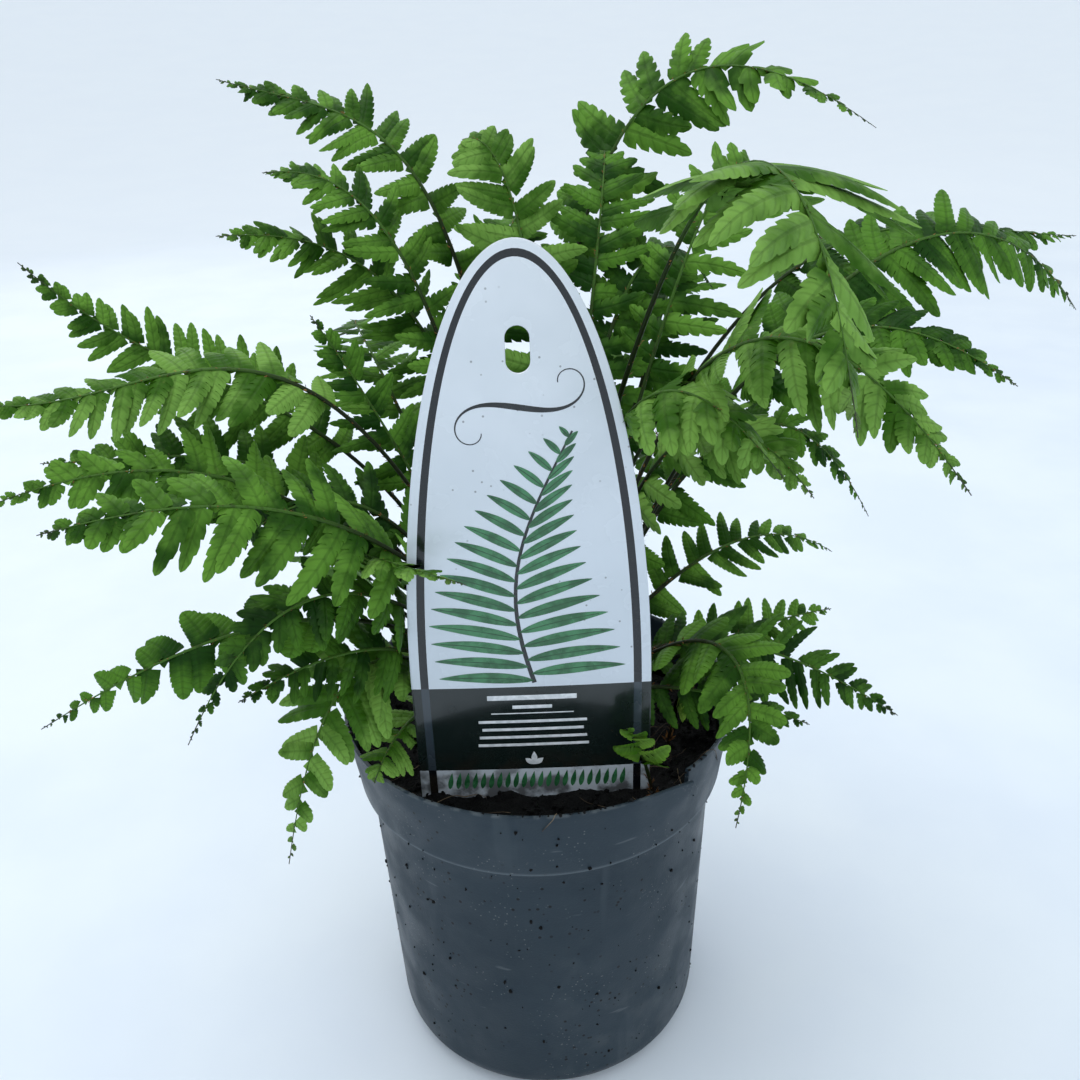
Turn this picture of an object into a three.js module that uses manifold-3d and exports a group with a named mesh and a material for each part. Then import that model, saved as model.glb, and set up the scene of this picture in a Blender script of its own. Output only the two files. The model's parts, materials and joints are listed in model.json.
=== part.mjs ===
// A scaly male fern growing in a round nursery pot, with a stick-in plant label in front.
// Millimetres, +Z up. The origin is the middle of the pot's underside.
//
// The pot is one thin plastic shell. A plug of peat fills it, with a plain socket for the
// fern's short upright rhizome, a slot for the label and two holes for young fronds.
// Every frond is one closed piece: a bare stipe that stands in its own hole in the rhizome
// and a thin arched blade that is cut to the rib into leaflets.

import * as THREE from 'three';
import Module from 'manifold-3d';
import { mergeVertices } from 'three/addons/utils/BufferGeometryUtils.js';

const wasm = await Module();
wasm.setup();

// Pot
const POT_HEIGHT = 130;
const RIM_RADIUS = 65;
const COLLAR_HEIGHT = 25;
const COLLAR_FOOT_RADIUS = 62;
const BODY_TOP_RADIUS = 58.7;
const BODY_FOOT_RADIUS = 55.2;
const FOOT_CURVE = 8.5;
const WALL = 1.4;
const PAD_RADIUS = 18;
const DRAIN_RING_RADIUS = 30;
const DRAIN_STEP = 2;
const DRAIN_HOLE_RADIUS = 4.5;
const DRAIN_HOLES = 8;
const POT_SIDES = 36;
const CRACK_ANGLE = -46;
const CRACK_WIDTH = 0.7;
const CRACK_DEPTH = 17;

// Peat and rhizome
const FIT = 0.35;
const SOIL_TOP = 114;
const SOIL_SIDES = 22;
const SOIL_RELIEF = 1.6;
const RHIZOME_RADIUS = 18;
const RHIZOME_TOP = 119;
const RHIZOME_FOOT = 94;
const STAND_SPACING = 4.1;
const STAND_ROUNDS = 60;

// Label
const LABEL_PLANE = -35;
const LABEL_CENTRE = -1.5;
const LABEL_THICKNESS = 0.8;
const LABEL_TOP = 286;
const LABEL_HALF_WIDTH = 36;
const LABEL_SHOULDER = 150;
const LABEL_POINT = 76;
const SLOT_CENTRE = 258;
const SLOT_WIDTH = 6.4;
const SLOT_HEIGHT = 12.5;

// Fronds
const CROWN = 122;
const CROWN_BACK = 8;
const PEG_FOOT = 108;
const STIPE_HALF_WIDTH = 1.15;
const STIPE_HALF_DEPTH = 0.85;
const BLADE_HALF_DEPTH = 0.35;
const LEAFLET_ANGLE = 66;
const LEAFLET_FILL = 0.74;
const CLEARANCE = 2.3;

// Each frond's course, in these columns: the compass heading of its tip in degrees, how far
// the tip reaches out from the axis, how high it ends above the crown, the height and the
// earliness of its arch, its sideways bow, the roll of its blade in degrees, the length of
// its longest leaflets, the pairs of leaflets, the bare share of its length, how far from the
// middle of the crown it stands, and which green it is, counted along the list of greens. The
// first 27 are the fronds in view, from the top down.
const COURSE = ['heading', 'reach', 'rise', 'arch', 'early', 'bow', 'roll', 'leaf', 'pairs',
  'bare', 'ring', 'green'];
const FRONDS = [
  [108, 56, 179, 34, -0.5, -13, 0, 20, 11, 0.36, 2, 2],
  [26, 126, 178, 84, 0, 54, 42, 19, 13, 0.34, 5, 0],
  [143, 121, 198, 74, 0.5, -26, -25, 15, 13, 0.34, 6, 0],
  [302, 124, 136, 104, 0, 11, 10, 28, 12, 0.42, 4, 2],
  [30, 87, 166, 33, -1, -5, 20, 19, 10, 0.45, 3, 0],
  [159, 101, 155, 49, 0.25, -29, -30, 18, 11, 0.34, 7, 0],
  [168, 65, 135, 10, 0, 0, -45, 15, 8, 0.35, 4, 1],
  [10, 178, 124, 78, 0, -11, 40, 17, 12, 0.38, 6, 1],
  [16, 189, 143, 78, 0.5, 5, 20, 14, 12, 0.42, 9, 1],
  [176, 145, 154, 30, 1.25, -11, -50, 17, 12, 0.38, 9, 0],
  [347, 135, 120, 68, 0.25, 3, 35, 14, 11, 0.38, 8, 1],
  [324, 128, 109, 84, 0.25, 0, 30, 17, 12, 0.4, 7, 2],
  [187, 156, 122, 71, 0.75, -4, -35, 15, 12, 0.38, 8, 2],
  [180, 148, 96, 45, 0.5, 0, -50, 14, 10, 0.38, 9, 0],
  [209, 137, 103, 43, 0.25, 12, -45, 19, 11, 0.36, 6, 0],
  [321, 84, 105, 70, 0.25, -8, 15, 15, 9, 0.42, 9, 2],
  [4, 109, 65, 52, -0.25, 8, 40, 14, 9, 0.4, 9, 1],
  [28, 130, 25, 19, -0.5, 5, 35, 13, 8, 0.42, 10, 0],
  [354, 120, 1, 22, 0.25, 5, 40, 16, 8, 0.42, 10, 3],
  [14, 109, 20, 6, -0.5, -6, 40, 13, 6, 0.5, 12, 0],
  [341, 90, 11, 13, 0.25, -3, 30, 12, 6, 0.5, 11, 3],
  [303, 96, 16, 28, 0.25, 29, 20, 15, 7, 0.45, 13, 0],
  [203, 149, 40, 46, 0.25, 16, -45, 10, 10, 0.42, 9, 1],
  [220, 118, 46, 43, -0.25, 1, -35, 13, 9, 0.4, 8, 3],
  [215, 100, 46, 24, 0.25, 2, -40, 13, 7, 0.42, 12, 3],
  [220, 97, -8, 40, -0.5, -6, -30, 19, 8, 0.42, 12, 2],
  [230, 74, 16, 8, 0.5, -9, -20, 12, 6, 0.5, 13, 2],
  [89, 100, 148, 44, 0, 7, 0, 18, 11, 0.36, 11, 1],
  [62, 120, 110, 60, 0, -14, 0, 18, 11, 0.36, 8, 1],
  [122, 125, 110, 46, 0.25, 12, 0, 18, 11, 0.36, 10, 0],
  [104, 130, 45, 45, 0, 0, 0, 17, 10, 0.38, 11, 3],
  [69, 80, 172, 44, 0, -6, 5, 18, 11, 0.36, 7, 1],
  [252, 56, 78, 26, 0.25, -48, -10, 12, 7, 0.5, 10, 2],
  [48, 112, 45, 42, 0, 6, 12, 15, 9, 0.4, 11, 1],
  [194, 152, 98, 46, 0.25, 1, -45, 14, 11, 0.4, 11, 0],
  [190, 92, 72, 50, 0.25, 8, -40, 16, 9, 0.42, 10, 3],
  [43, 88, 128, 64, 0, 4, 25, 17, 10, 0.42, 8, 1],
  [335, 86, 92, 58, 0.25, 4, 30, 16, 9, 0.42, 9, 2],
  [150, 92, 172, 60, 0.25, -12, -20, 15, 11, 0.36, 6, 0],
];

// Two young fronds that come up through the peat beside the crown: place, lean and height.
const YOUNG_FRONDS = [
  { x: 35, y: -41, heading: 200, reach: 9, rise: 26, leaf: 9 },
  { x: 43, y: -14, heading: 330, reach: 6, rise: 22, leaf: 7 },
];

const UP = new THREE.Vector3(0, 0, 1);
const radians = THREE.MathUtils.degToRad;

// A small repeatable generator of numbers from 0 to 1.
function seeded(seed) {
  let state = seed;
  return () => {
    state = (state * 16807) % 2147483647;
    return state / 2147483647;
  };
}

function finish(colour, roughness) {
  return new THREE.MeshStandardMaterial({ color: colour, roughness, metalness: 0 });
}

// Closed solids for joining and cutting

function toSolid(geometry) {
  const bare = geometry.clone();
  bare.deleteAttribute('normal');
  bare.deleteAttribute('uv');
  const merged = mergeVertices(bare, 1e-4);
  return new wasm.Manifold(new wasm.Mesh({
    numProp: 3,
    vertProperties: new Float32Array(merged.attributes.position.array),
    triVerts: new Uint32Array(merged.index.array),
  }));
}

function toGeometry(solid) {
  const mesh = solid.getMesh();
  const geometry = new THREE.BufferGeometry();
  geometry.setAttribute('position', new THREE.BufferAttribute(mesh.vertProperties, 3));
  geometry.setIndex(new THREE.BufferAttribute(mesh.triVerts, 1));
  return geometry;
}

function cut(solid, tools) {
  return tools.reduce((rest, tool) => rest.subtract(tool), solid);
}

// A turned shape from (radius, height) points, with its axis along Z.
function turned(profile, sides) {
  const points = profile.map(([radius, height]) => new THREE.Vector2(radius, height));
  return new THREE.LatheGeometry(points, sides).rotateX(Math.PI / 2);
}

function uprightCylinder(radius, low, high, sides, x, y) {
  const geometry = new THREE.CylinderGeometry(radius, radius, high - low, sides);
  return geometry.rotateX(Math.PI / 2).translate(x, y, (low + high) / 2);
}

// Pot: base with a raised drain ring, rounded foot, tapering body and a stepped collar

function potProfile() {
  const collarFoot = POT_HEIGHT - COLLAR_HEIGHT;
  const profile = [[0, 0], [PAD_RADIUS, 0], [PAD_RADIUS + 2, DRAIN_STEP]];
  profile.push([BODY_FOOT_RADIUS - FOOT_CURVE - 5, DRAIN_STEP], [BODY_FOOT_RADIUS - FOOT_CURVE - 3, 0]);
  for (let step = 0; step <= 4; step += 1) {
    const angle = (step / 4) * Math.PI / 2;
    const radius = BODY_FOOT_RADIUS - FOOT_CURVE * (1 - Math.sin(angle));
    profile.push([radius, FOOT_CURVE * (1 - Math.cos(angle))]);
  }
  profile.push([BODY_TOP_RADIUS, collarFoot - 1], [COLLAR_FOOT_RADIUS, collarFoot]);
  profile.push([RIM_RADIUS, POT_HEIGHT - 0.8], [RIM_RADIUS - 0.6, POT_HEIGHT]);
  profile.push([RIM_RADIUS - WALL, POT_HEIGHT], [COLLAR_FOOT_RADIUS - WALL, collarFoot + WALL]);
  profile.push([BODY_TOP_RADIUS - WALL, collarFoot - 1], [BODY_FOOT_RADIUS - WALL, FOOT_CURVE]);
  profile.push([BODY_FOOT_RADIUS - FOOT_CURVE * 0.35 - WALL, FOOT_CURVE * 0.3 + WALL]);
  profile.push([BODY_FOOT_RADIUS - FOOT_CURVE - 3, DRAIN_STEP + WALL], [0, DRAIN_STEP + WALL]);
  return profile;
}

function buildPot() {
  const holes = [];
  for (let index = 0; index < DRAIN_HOLES; index += 1) {
    const angle = (index / DRAIN_HOLES) * 2 * Math.PI;
    const x = DRAIN_RING_RADIUS * Math.cos(angle);
    const y = DRAIN_RING_RADIUS * Math.sin(angle);
    holes.push(toSolid(uprightCylinder(DRAIN_HOLE_RADIUS, -5, 10, 8, x, y)));
  }
  const crack = new THREE.BoxGeometry(12, CRACK_WIDTH, CRACK_DEPTH + 5);
  crack.translate(RIM_RADIUS, 0, POT_HEIGHT - CRACK_DEPTH / 2 + 2.5);
  crack.rotateZ(radians(CRACK_ANGLE));
  return toGeometry(cut(toSolid(turned(potProfile(), POT_SIDES)), [...holes, toSolid(crack)]));
}

// Inner radius of the pot at a height above its rounded foot.
function potInside(height) {
  const share = (height - FOOT_CURVE) / (POT_HEIGHT - COLLAR_HEIGHT - 1 - FOOT_CURVE);
  const body = THREE.MathUtils.lerp(BODY_FOOT_RADIUS, BODY_TOP_RADIUS, Math.min(share, 1));
  return body - WALL;
}

// Peat: a plug that follows the pot's inside, with a crumbly top

// Uneven height of the peat, from -1 to 1, as two crossed sets of waves.
function crumbs(x, y) {
  return 0.6 * Math.sin(0.31 * x + 1.7) * Math.cos(0.27 * y - 0.4) + 0.4 * Math.sin(0.53 * (x + y));
}

function buildSoil(tools) {
  const gap = FIT + 0.15;
  const low = DRAIN_STEP + WALL + FIT;
  const rim = SOIL_TOP - 9.5;
  const profile = [[0, low], [BODY_FOOT_RADIUS - FOOT_CURVE - 5, low]];
  profile.push([BODY_FOOT_RADIUS - FOOT_CURVE * 0.35 - WALL - 1, FOOT_CURVE * 0.3 + WALL + 1]);
  profile.push([potInside(FOOT_CURVE) - gap, FOOT_CURVE], [potInside(rim) - gap, rim]);
  profile.push([potInside(rim) - gap + 2.6, SOIL_TOP], [44, SOIL_TOP + 0.5], [27, SOIL_TOP], [0, SOIL_TOP]);
  const plug = turned(profile, SOIL_SIDES);
  const places = plug.attributes.position;
  for (let index = 0; index < places.count; index += 1) {
    const x = places.getX(index);
    const y = places.getY(index);
    const onTop = places.getZ(index) > SOIL_TOP - 1 && Math.hypot(x, y) < 50;
    if (onTop) places.setZ(index, places.getZ(index) + SOIL_RELIEF * crumbs(x, y));
  }
  return toGeometry(cut(toSolid(plug), tools));
}

// Rhizome: a short upright knob of old stipe bases, cut by a hole for each stipe

function rhizomeProfile(grow) {
  const profile = [[0, RHIZOME_FOOT - grow]];
  for (let step = 1; step < 6; step += 1) {
    const share = step / 6;
    const height = THREE.MathUtils.lerp(RHIZOME_FOOT, RHIZOME_TOP, share);
    const bulge = Math.min(1, 1.18 * Math.sin(Math.PI * (0.12 + 0.74 * share)) ** 0.6);
    profile.push([RHIZOME_RADIUS * bulge + grow, height]);
  }
  profile.push([RHIZOME_RADIUS * 0.9 + grow, RHIZOME_TOP + grow], [0, RHIZOME_TOP + grow]);
  return profile;
}

function buildRhizome(holes) {
  const knob = turned(rhizomeProfile(0), 18).translate(0, CROWN_BACK, 0);
  return toGeometry(cut(toSolid(knob), holes));
}

// Label: a thin plate with a bullet-shaped head, a hang slot and a point in the peat

function labelOutline(grow) {
  const shape = new THREE.Shape();
  const half = LABEL_HALF_WIDTH + grow;
  const neck = SOIL_TOP - 6;
  shape.moveTo(-4 - grow, LABEL_POINT - grow);
  shape.lineTo(4 + grow, LABEL_POINT - grow);
  shape.lineTo(half, neck);
  shape.lineTo(half, LABEL_SHOULDER);
  shape.absellipse(0, LABEL_SHOULDER, half, LABEL_TOP + grow - LABEL_SHOULDER, 0, Math.PI);
  shape.lineTo(-half, neck);
  shape.closePath();
  return shape;
}

function hangSlot() {
  const slot = new THREE.Path();
  const side = SLOT_WIDTH / 2;
  const run = SLOT_HEIGHT / 2 - side;
  slot.moveTo(-side, SLOT_CENTRE - run);
  slot.absarc(0, SLOT_CENTRE - run, side, Math.PI, 2 * Math.PI);
  slot.absarc(0, SLOT_CENTRE + run, side, 0, Math.PI);
  slot.closePath();
  return slot;
}

function labelPlate(outline, thickness) {
  const options = { depth: thickness, bevelEnabled: false, curveSegments: 14 };
  const plate = new THREE.ExtrudeGeometry(outline, options);
  return plate.rotateX(Math.PI / 2).translate(LABEL_CENTRE, LABEL_PLANE + thickness / 2, 0);
}

function buildLabel() {
  const outline = labelOutline(0);
  outline.holes.push(hangSlot());
  return labelPlate(outline, LABEL_THICKNESS);
}

// Fronds

// Stipes stand round the crown on the side that they first lean to, and have pushed each
// other apart as they grew, until no two stand closer than the spacing.
function standApart(all) {
  for (const frond of all) {
    const lean = radians(frond.heading) + Math.atan2(4 * frond.bow, frond.reach);
    const x = frond.ring * Math.cos(lean);
    const y = frond.ring * Math.sin(lean);
    frond.stand = new THREE.Vector3(x, CROWN_BACK + y, 0);
  }
  for (let round = 0; round < STAND_ROUNDS; round += 1) {
    all.forEach((frond, index) => {
      for (const other of all.slice(index + 1)) {
        const apart = other.stand.clone().sub(frond.stand);
        const short = STAND_SPACING - apart.length();
        if (short <= 0) continue;
        apart.setLength(short / 2);
        other.stand.add(apart);
        frond.stand.sub(apart);
      }
    });
  }
}

// The frond's midline runs straight from its stand to its tip, lifted by an arch that may
// come early and pushed sideways by a bow. The share runs from 0 at the crown to 1 at the tip.
function midline(frond, share) {
  const heading = radians(frond.heading);
  const even = 4 * share * (1 - share);
  const soon = 6.75 * share * (1 - share) ** 2;
  const lift = frond.arch * ((1 - frond.early) * even + frond.early * soon);
  const tipX = (frond.centreX ?? 0) + frond.reach * Math.cos(heading);
  const tipY = (frond.centreY ?? 0) + frond.reach * Math.sin(heading);
  return new THREE.Vector3(
    THREE.MathUtils.lerp(frond.stand.x, tipX, share) - frond.bow * even * Math.sin(heading),
    THREE.MathUtils.lerp(frond.stand.y, tipY, share) + frond.bow * even * Math.cos(heading),
    frond.crown + share * frond.rise + lift,
  );
}

// Place and directions on the midline: along it, to its right and up out of the blade.
function frameAt(frond, share) {
  const step = 0.004;
  const ahead = midline(frond, Math.min(share + step, 1));
  const behind = midline(frond, Math.max(share - step, 0));
  const along = ahead.sub(behind).normalize();
  const heading = radians(frond.heading);
  const right = new THREE.Vector3(Math.sin(heading), -Math.cos(heading), 0);
  right.addScaledVector(along, -right.dot(along)).normalize();
  const turn = radians(frond.roll) * THREE.MathUtils.smoothstep(share, 0.1, frond.bare + 0.15);
  right.applyAxisAngle(along, turn);
  const above = new THREE.Vector3().crossVectors(right, along);
  return { place: midline(frond, share), along, right, above };
}

// Triangles of one frond, collected corner by corner
class Skin {
  constructor() {
    this.places = [];
    this.faces = [];
  }

  point(place) {
    this.places.push(place.x, place.y, place.z);
    return this.places.length / 3 - 1;
  }

  face(a, b, c, mirrored = false) {
    this.faces.push(...(mirrored ? [a, c, b] : [a, b, c]));
  }

  geometry() {
    const geometry = new THREE.BufferGeometry();
    geometry.setAttribute('position', new THREE.Float32BufferAttribute(this.places, 3));
    geometry.setIndex(this.faces);
    return geometry;
  }
}

// Four corners of the rib at one place: upper left, upper right, lower right, lower left.
function ribCorners(skin, frame, halfWidth, halfDepth) {
  const corner = (side, height) => skin.point(frame.place.clone()
    .addScaledVector(frame.right, side * halfWidth)
    .addScaledVector(frame.above, height * halfDepth));
  return [corner(-1, 1), corner(1, 1), corner(1, -1), corner(-1, -1)];
}

function ribFaces(skin, near, far, leftOpen, rightOpen) {
  skin.face(near[0], near[1], far[1]);
  skin.face(near[0], far[1], far[0]);
  skin.face(near[3], far[2], near[2]);
  skin.face(near[3], far[3], far[2]);
  if (!rightOpen) {
    skin.face(near[1], near[2], far[2]);
    skin.face(near[1], far[2], far[1]);
  }
  if (!leftOpen) {
    skin.face(near[0], far[3], near[3]);
    skin.face(near[0], far[0], far[3]);
  }
}

// Length of the leaflets along the blade, as a share of the longest: widest at a third.
function leafletShare(along) {
  return (along + 0.1) ** 0.35 * (1 - 0.93 * along) ** 0.62 / 0.6;
}

// The three free corners of a leaflet, in the middle of its thickness: the hind shoulder,
// the tip and the fore shoulder. It leans forward, tilts out of the blade and droops.
function leafletOutline(root, side, length, tilt) {
  const lean = radians(LEAFLET_ANGLE);
  const out = root.right.clone().multiplyScalar(side * Math.sin(lean));
  out.addScaledVector(root.along, Math.cos(lean));
  const level = out.clone();
  out.multiplyScalar(Math.cos(tilt)).addScaledVector(root.above, Math.sin(tilt));
  const across = root.along.clone().addScaledVector(level, -root.along.dot(level)).normalize();
  const half = 0.5 * root.spacing * Math.sin(lean) * LEAFLET_FILL;
  const at = (reach, sideways, drop) => root.place.clone()
    .addScaledVector(root.right, side * root.halfWidth)
    .addScaledVector(out, reach * length)
    .addScaledVector(across, sideways)
    .addScaledVector(root.above, -drop * length);
  return [at(0.5, -half, 0.03), at(1, half * 0.5, 0.16), at(0.56, half, 0.03)];
}

function leafletFaces(skin, near, far, outline, above, side) {
  const top = outline.map((place, index) => {
    const halfDepth = index === 1 ? BLADE_HALF_DEPTH * 0.9 : BLADE_HALF_DEPTH;
    return skin.point(place.clone().addScaledVector(above, halfDepth));
  });
  const under = outline.map((place, index) => {
    const halfDepth = index === 1 ? BLADE_HALF_DEPTH * 0.9 : BLADE_HALF_DEPTH;
    return skin.point(place.clone().addScaledVector(above, -halfDepth));
  });
  const mirrored = side < 0;
  const [upper, lower] = mirrored ? [0, 3] : [1, 2];
  const rimTop = [near[upper], ...top, far[upper]];
  const rimUnder = [near[lower], ...under, far[lower]];
  for (const [a, b, c] of [[0, 1, 3], [0, 3, 4], [1, 2, 3]]) {
    skin.face(rimTop[a], rimTop[b], rimTop[c], mirrored);
    skin.face(rimUnder[a], rimUnder[c], rimUnder[b], mirrored);
  }
  for (let index = 0; index < 4; index += 1) {
    skin.face(rimTop[index], rimUnder[index], rimUnder[index + 1], mirrored);
    skin.face(rimTop[index], rimUnder[index + 1], rimTop[index + 1], mirrored);
  }
}

// Keeping clear: a leaflet is tried as it grows, then bent up or down and shortened, and is
// left out where nothing fits between the fronds, the pot and the label around it.
const BENDS = [[0, 1], [16, 1], [-16, 1], [32, 0.95], [-30, 0.9], [0, 0.72], [24, 0.72],
  [-24, 0.72], [50, 0.7], [-48, 0.7], [0, 0.5], [36, 0.5], [-36, 0.5]];

const leavesPlaced = [];

function leafTriangles(root, side, outline) {
  const foot = root.place.clone().addScaledVector(root.right, side * root.halfWidth);
  const back = foot.clone().addScaledVector(root.along, -root.spacing / 2);
  const fore = foot.clone().addScaledVector(root.along, root.spacing / 2);
  const [hind, tip, front] = outline;
  return [
    new THREE.Triangle(back, hind, front),
    new THREE.Triangle(back, front, fore),
    new THREE.Triangle(hind, tip, front),
  ];
}

// Points spread over a leaflet, closer together than the clearance.
function leafSamples(root, side, outline) {
  const foot = root.place.clone().addScaledVector(root.right, side * root.halfWidth);
  const [hind, tip, front] = outline;
  const samples = [];
  for (const reach of [0.12, 0.25, 0.38, 0.5]) {
    const back = foot.clone().addScaledVector(root.along, -root.spacing * 0.42).lerp(hind, reach * 2);
    const fore = foot.clone().addScaledVector(root.along, root.spacing * 0.42).lerp(front, reach * 2);
    for (const across of [0, 0.25, 0.5, 0.75, 1]) samples.push(back.clone().lerp(fore, across));
  }
  for (const reach of [0.3, 0.6, 0.85, 1]) {
    const back = hind.clone().lerp(tip, reach);
    const fore = front.clone().lerp(tip, reach);
    for (const across of [0, 0.5, 1]) samples.push(back.clone().lerp(fore, across));
  }
  return samples;
}

function hitsHolder(place) {
  const radius = Math.hypot(place.x, place.y);
  const inPot = place.z < POT_HEIGHT + 2 && radius > 57 && radius < RIM_RADIUS + 2;
  const inSoil = place.z < SOIL_TOP + 4 && radius < RIM_RADIUS + 2;
  const nearPlane = Math.abs(place.y - LABEL_PLANE) < 2;
  const beside = Math.abs(place.x - LABEL_CENTRE);
  const inLabel = nearPlane && beside < LABEL_HALF_WIDTH + 2 && place.z < LABEL_TOP + 2;
  return inPot || inSoil || inLabel;
}

function segmentDistance(place, start, end) {
  return new THREE.Line3(start, end).closestPointToPoint(place, true, new THREE.Vector3())
    .distanceTo(place);
}

function isClear(frond, centre, size, samples) {
  if (samples.some(hitsHolder)) return false;
  for (const other of everyFrond) {
    if (other === frond) continue;
    for (let index = 1; index < other.trail.length; index += 1) {
      const start = other.trail[index - 1];
      const end = other.trail[index];
      if (start.distanceTo(centre) > size + 16) continue;
      if (samples.some((place) => segmentDistance(place, start, end) < CLEARANCE + 0.5)) return false;
    }
  }
  const closest = new THREE.Vector3();
  for (const leaf of leavesPlaced) {
    if (leaf.frond === frond || leaf.centre.distanceTo(centre) > size + leaf.size + CLEARANCE) continue;
    const touches = (place) => leaf.triangles.some((triangle) => (
      triangle.closestPointToPoint(place, closest).distanceTo(place) < CLEARANCE));
    if (samples.some(touches)) return false;
  }
  return true;
}

// Adds the leaflet between two places on the rib and says whether there was room for it.
function growLeaflet(skin, frond, near, far, root, side, length, tilt) {
  for (const [bend, shortened] of BENDS) {
    const outline = leafletOutline(root, side, length * shortened, tilt + radians(bend));
    const centre = root.place.clone().lerp(outline[1], 0.5);
    const size = length * 0.5 * shortened + root.spacing * 0.6;
    if (isClear(frond, centre, size, leafSamples(root, side, outline))) {
      leafletFaces(skin, near, far, outline, root.above, side);
      leavesPlaced.push({ frond, centre, size, triangles: leafTriangles(root, side, outline) });
      return true;
    }
  }
  return false;
}

function ribSize(frond, share) {
  const thin = THREE.MathUtils.lerp(1, 0.38, share);
  return [STIPE_HALF_WIDTH * thin * frond.stout, STIPE_HALF_DEPTH * Math.max(thin, 0.46) * frond.stout];
}

function buildFrond(frond) {
  const skin = new Skin();
  const random = seeded(frond.seed);
  const foot = frameAt(frond, 0);
  const upright = {
    place: foot.place.clone().setZ(frond.peg),
    along: UP,
    right: foot.right.clone().setZ(0).normalize(),
  };
  upright.above = new THREE.Vector3().crossVectors(upright.right, UP);
  let previous = ribCorners(skin, upright, ...ribSize(frond, 0));
  skin.face(previous[0], previous[3], previous[2]);
  skin.face(previous[0], previous[2], previous[1]);
  const neck = { ...upright, place: foot.place.clone().addScaledVector(UP, -1.5) };
  const shares = [];
  for (let step = 1; step <= frond.stipeSteps; step += 1) shares.push(frond.bare * step / frond.stipeSteps);
  let next = ribCorners(skin, neck, ...ribSize(frond, 0));
  ribFaces(skin, previous, next, false, false);
  previous = next;
  for (const share of shares) {
    next = ribCorners(skin, frameAt(frond, share), ...ribSize(frond, share));
    ribFaces(skin, previous, next, false, false);
    previous = next;
  }
  const stretch = (1 - frond.bare) * 0.97;
  for (let pair = 0; pair < frond.pairs; pair += 1) {
    const along = (pair + 0.5) / frond.pairs;
    const middle = frond.bare + stretch * along;
    const end = frond.bare + stretch * (pair + 1) / frond.pairs;
    next = ribCorners(skin, frameAt(frond, end), ...ribSize(frond, end));
    const root = frameAt(frond, middle);
    root.spacing = midline(frond, end).distanceTo(midline(frond, end - stretch / frond.pairs));
    [root.halfWidth] = ribSize(frond, middle);
    const length = frond.leaf * leafletShare(along);
    const grown = [-1, 1].map((side) => growLeaflet(skin, frond, previous, next, root, side,
      length * (0.92 + 0.16 * random()), radians(-4 + 14 * (random() - 0.5))));
    ribFaces(skin, previous, next, grown[0], grown[1]);
    previous = next;
  }
  const tip = skin.point(midline(frond, 1));
  skin.face(previous[0], previous[1], tip);
  skin.face(previous[3], tip, previous[2]);
  skin.face(previous[1], previous[2], tip);
  skin.face(previous[0], tip, previous[3]);
  return skin.geometry();
}

function prepareFrond(row, index) {
  const course = Object.fromEntries(COURSE.map((column, place) => [column, row[place]]));
  return { ...course, seed: 101 + 7 * index, crown: CROWN, peg: PEG_FOOT, stout: 1, stipeSteps: 3 };
}

function prepareYoung(row, index) {
  return {
    ...row,
    arch: 4,
    early: 0,
    bow: 0,
    roll: 0,
    pairs: 4,
    bare: 0.3,
    stipeSteps: 1,
    stout: 0.7,
    seed: 911 + 7 * index,
    crown: SOIL_TOP + 3,
    peg: SOIL_TOP - 9,
    centreX: row.x,
    centreY: row.y,
    stand: { x: row.x, y: row.y },
  };
}

// The plain hole that a stipe stands in, a little wider than the stipe.
function pegHole(frond, top) {
  const [halfWidth, halfDepth] = ribSize(frond, 0);
  const low = frond.peg - FIT;
  const hole = new THREE.BoxGeometry(2 * (halfWidth + FIT), 2 * (halfDepth + FIT), top - low);
  const { right } = frameAt(frond, 0);
  hole.rotateZ(Math.atan2(right.y, right.x));
  return toSolid(hole.translate(frond.stand.x, frond.stand.y, (low + top) / 2));
}

const fronds = FRONDS.map(prepareFrond);
standApart(fronds);
const youngFronds = YOUNG_FRONDS.map(prepareYoung);
const everyFrond = [...fronds, ...youngFronds];
for (const frond of everyFrond) {
  frond.trail = [];
  for (let step = 0; step <= 24; step += 1) frond.trail.push(midline(frond, step / 24));
}

const plant = new THREE.Group();

function place(name, geometry, material) {
  const mesh = new THREE.Mesh(geometry, material);
  mesh.name = name;
  plant.add(mesh);
}

const socketProfile = [...rhizomeProfile(FIT).slice(0, -2), [RHIZOME_RADIUS + FIT, SOIL_TOP - 2]];
socketProfile.push([RHIZOME_RADIUS + FIT, POT_HEIGHT], [0, POT_HEIGHT]);
const socket = toSolid(turned(socketProfile, 18).translate(0, CROWN_BACK, 0));
const labelSlot = toSolid(labelPlate(labelOutline(FIT), LABEL_THICKNESS + 2 * FIT));
const youngHoles = youngFronds.map((frond) => pegHole(frond, POT_HEIGHT));

place('pot', buildPot(), finish(0x3d444c, 0.5));
place('soil', buildSoil([socket, labelSlot, ...youngHoles]), finish(0x15110d, 0.95));
place('rhizome', buildRhizome(fronds.map((frond) => pegHole(frond, POT_HEIGHT))), finish(0x3a2616, 0.9));
place('label', buildLabel(), finish(0xe9eef2, 0.3));

const leafGreens = [0x3f7a2a, 0x2f6424, 0x4c8a30, 0x27551f];
fronds.forEach((frond, index) => {
  const name = `frond_${String(index + 1).padStart(2, '0')}`;
  place(name, buildFrond(frond), finish(leafGreens[frond.green], 0.55));
});
youngFronds.forEach((frond, index) => {
  place(`young_frond_${index + 1}`, buildFrond(frond), finish(0x4f9433, 0.5));
});

export default plant;
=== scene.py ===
import json
import math

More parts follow.
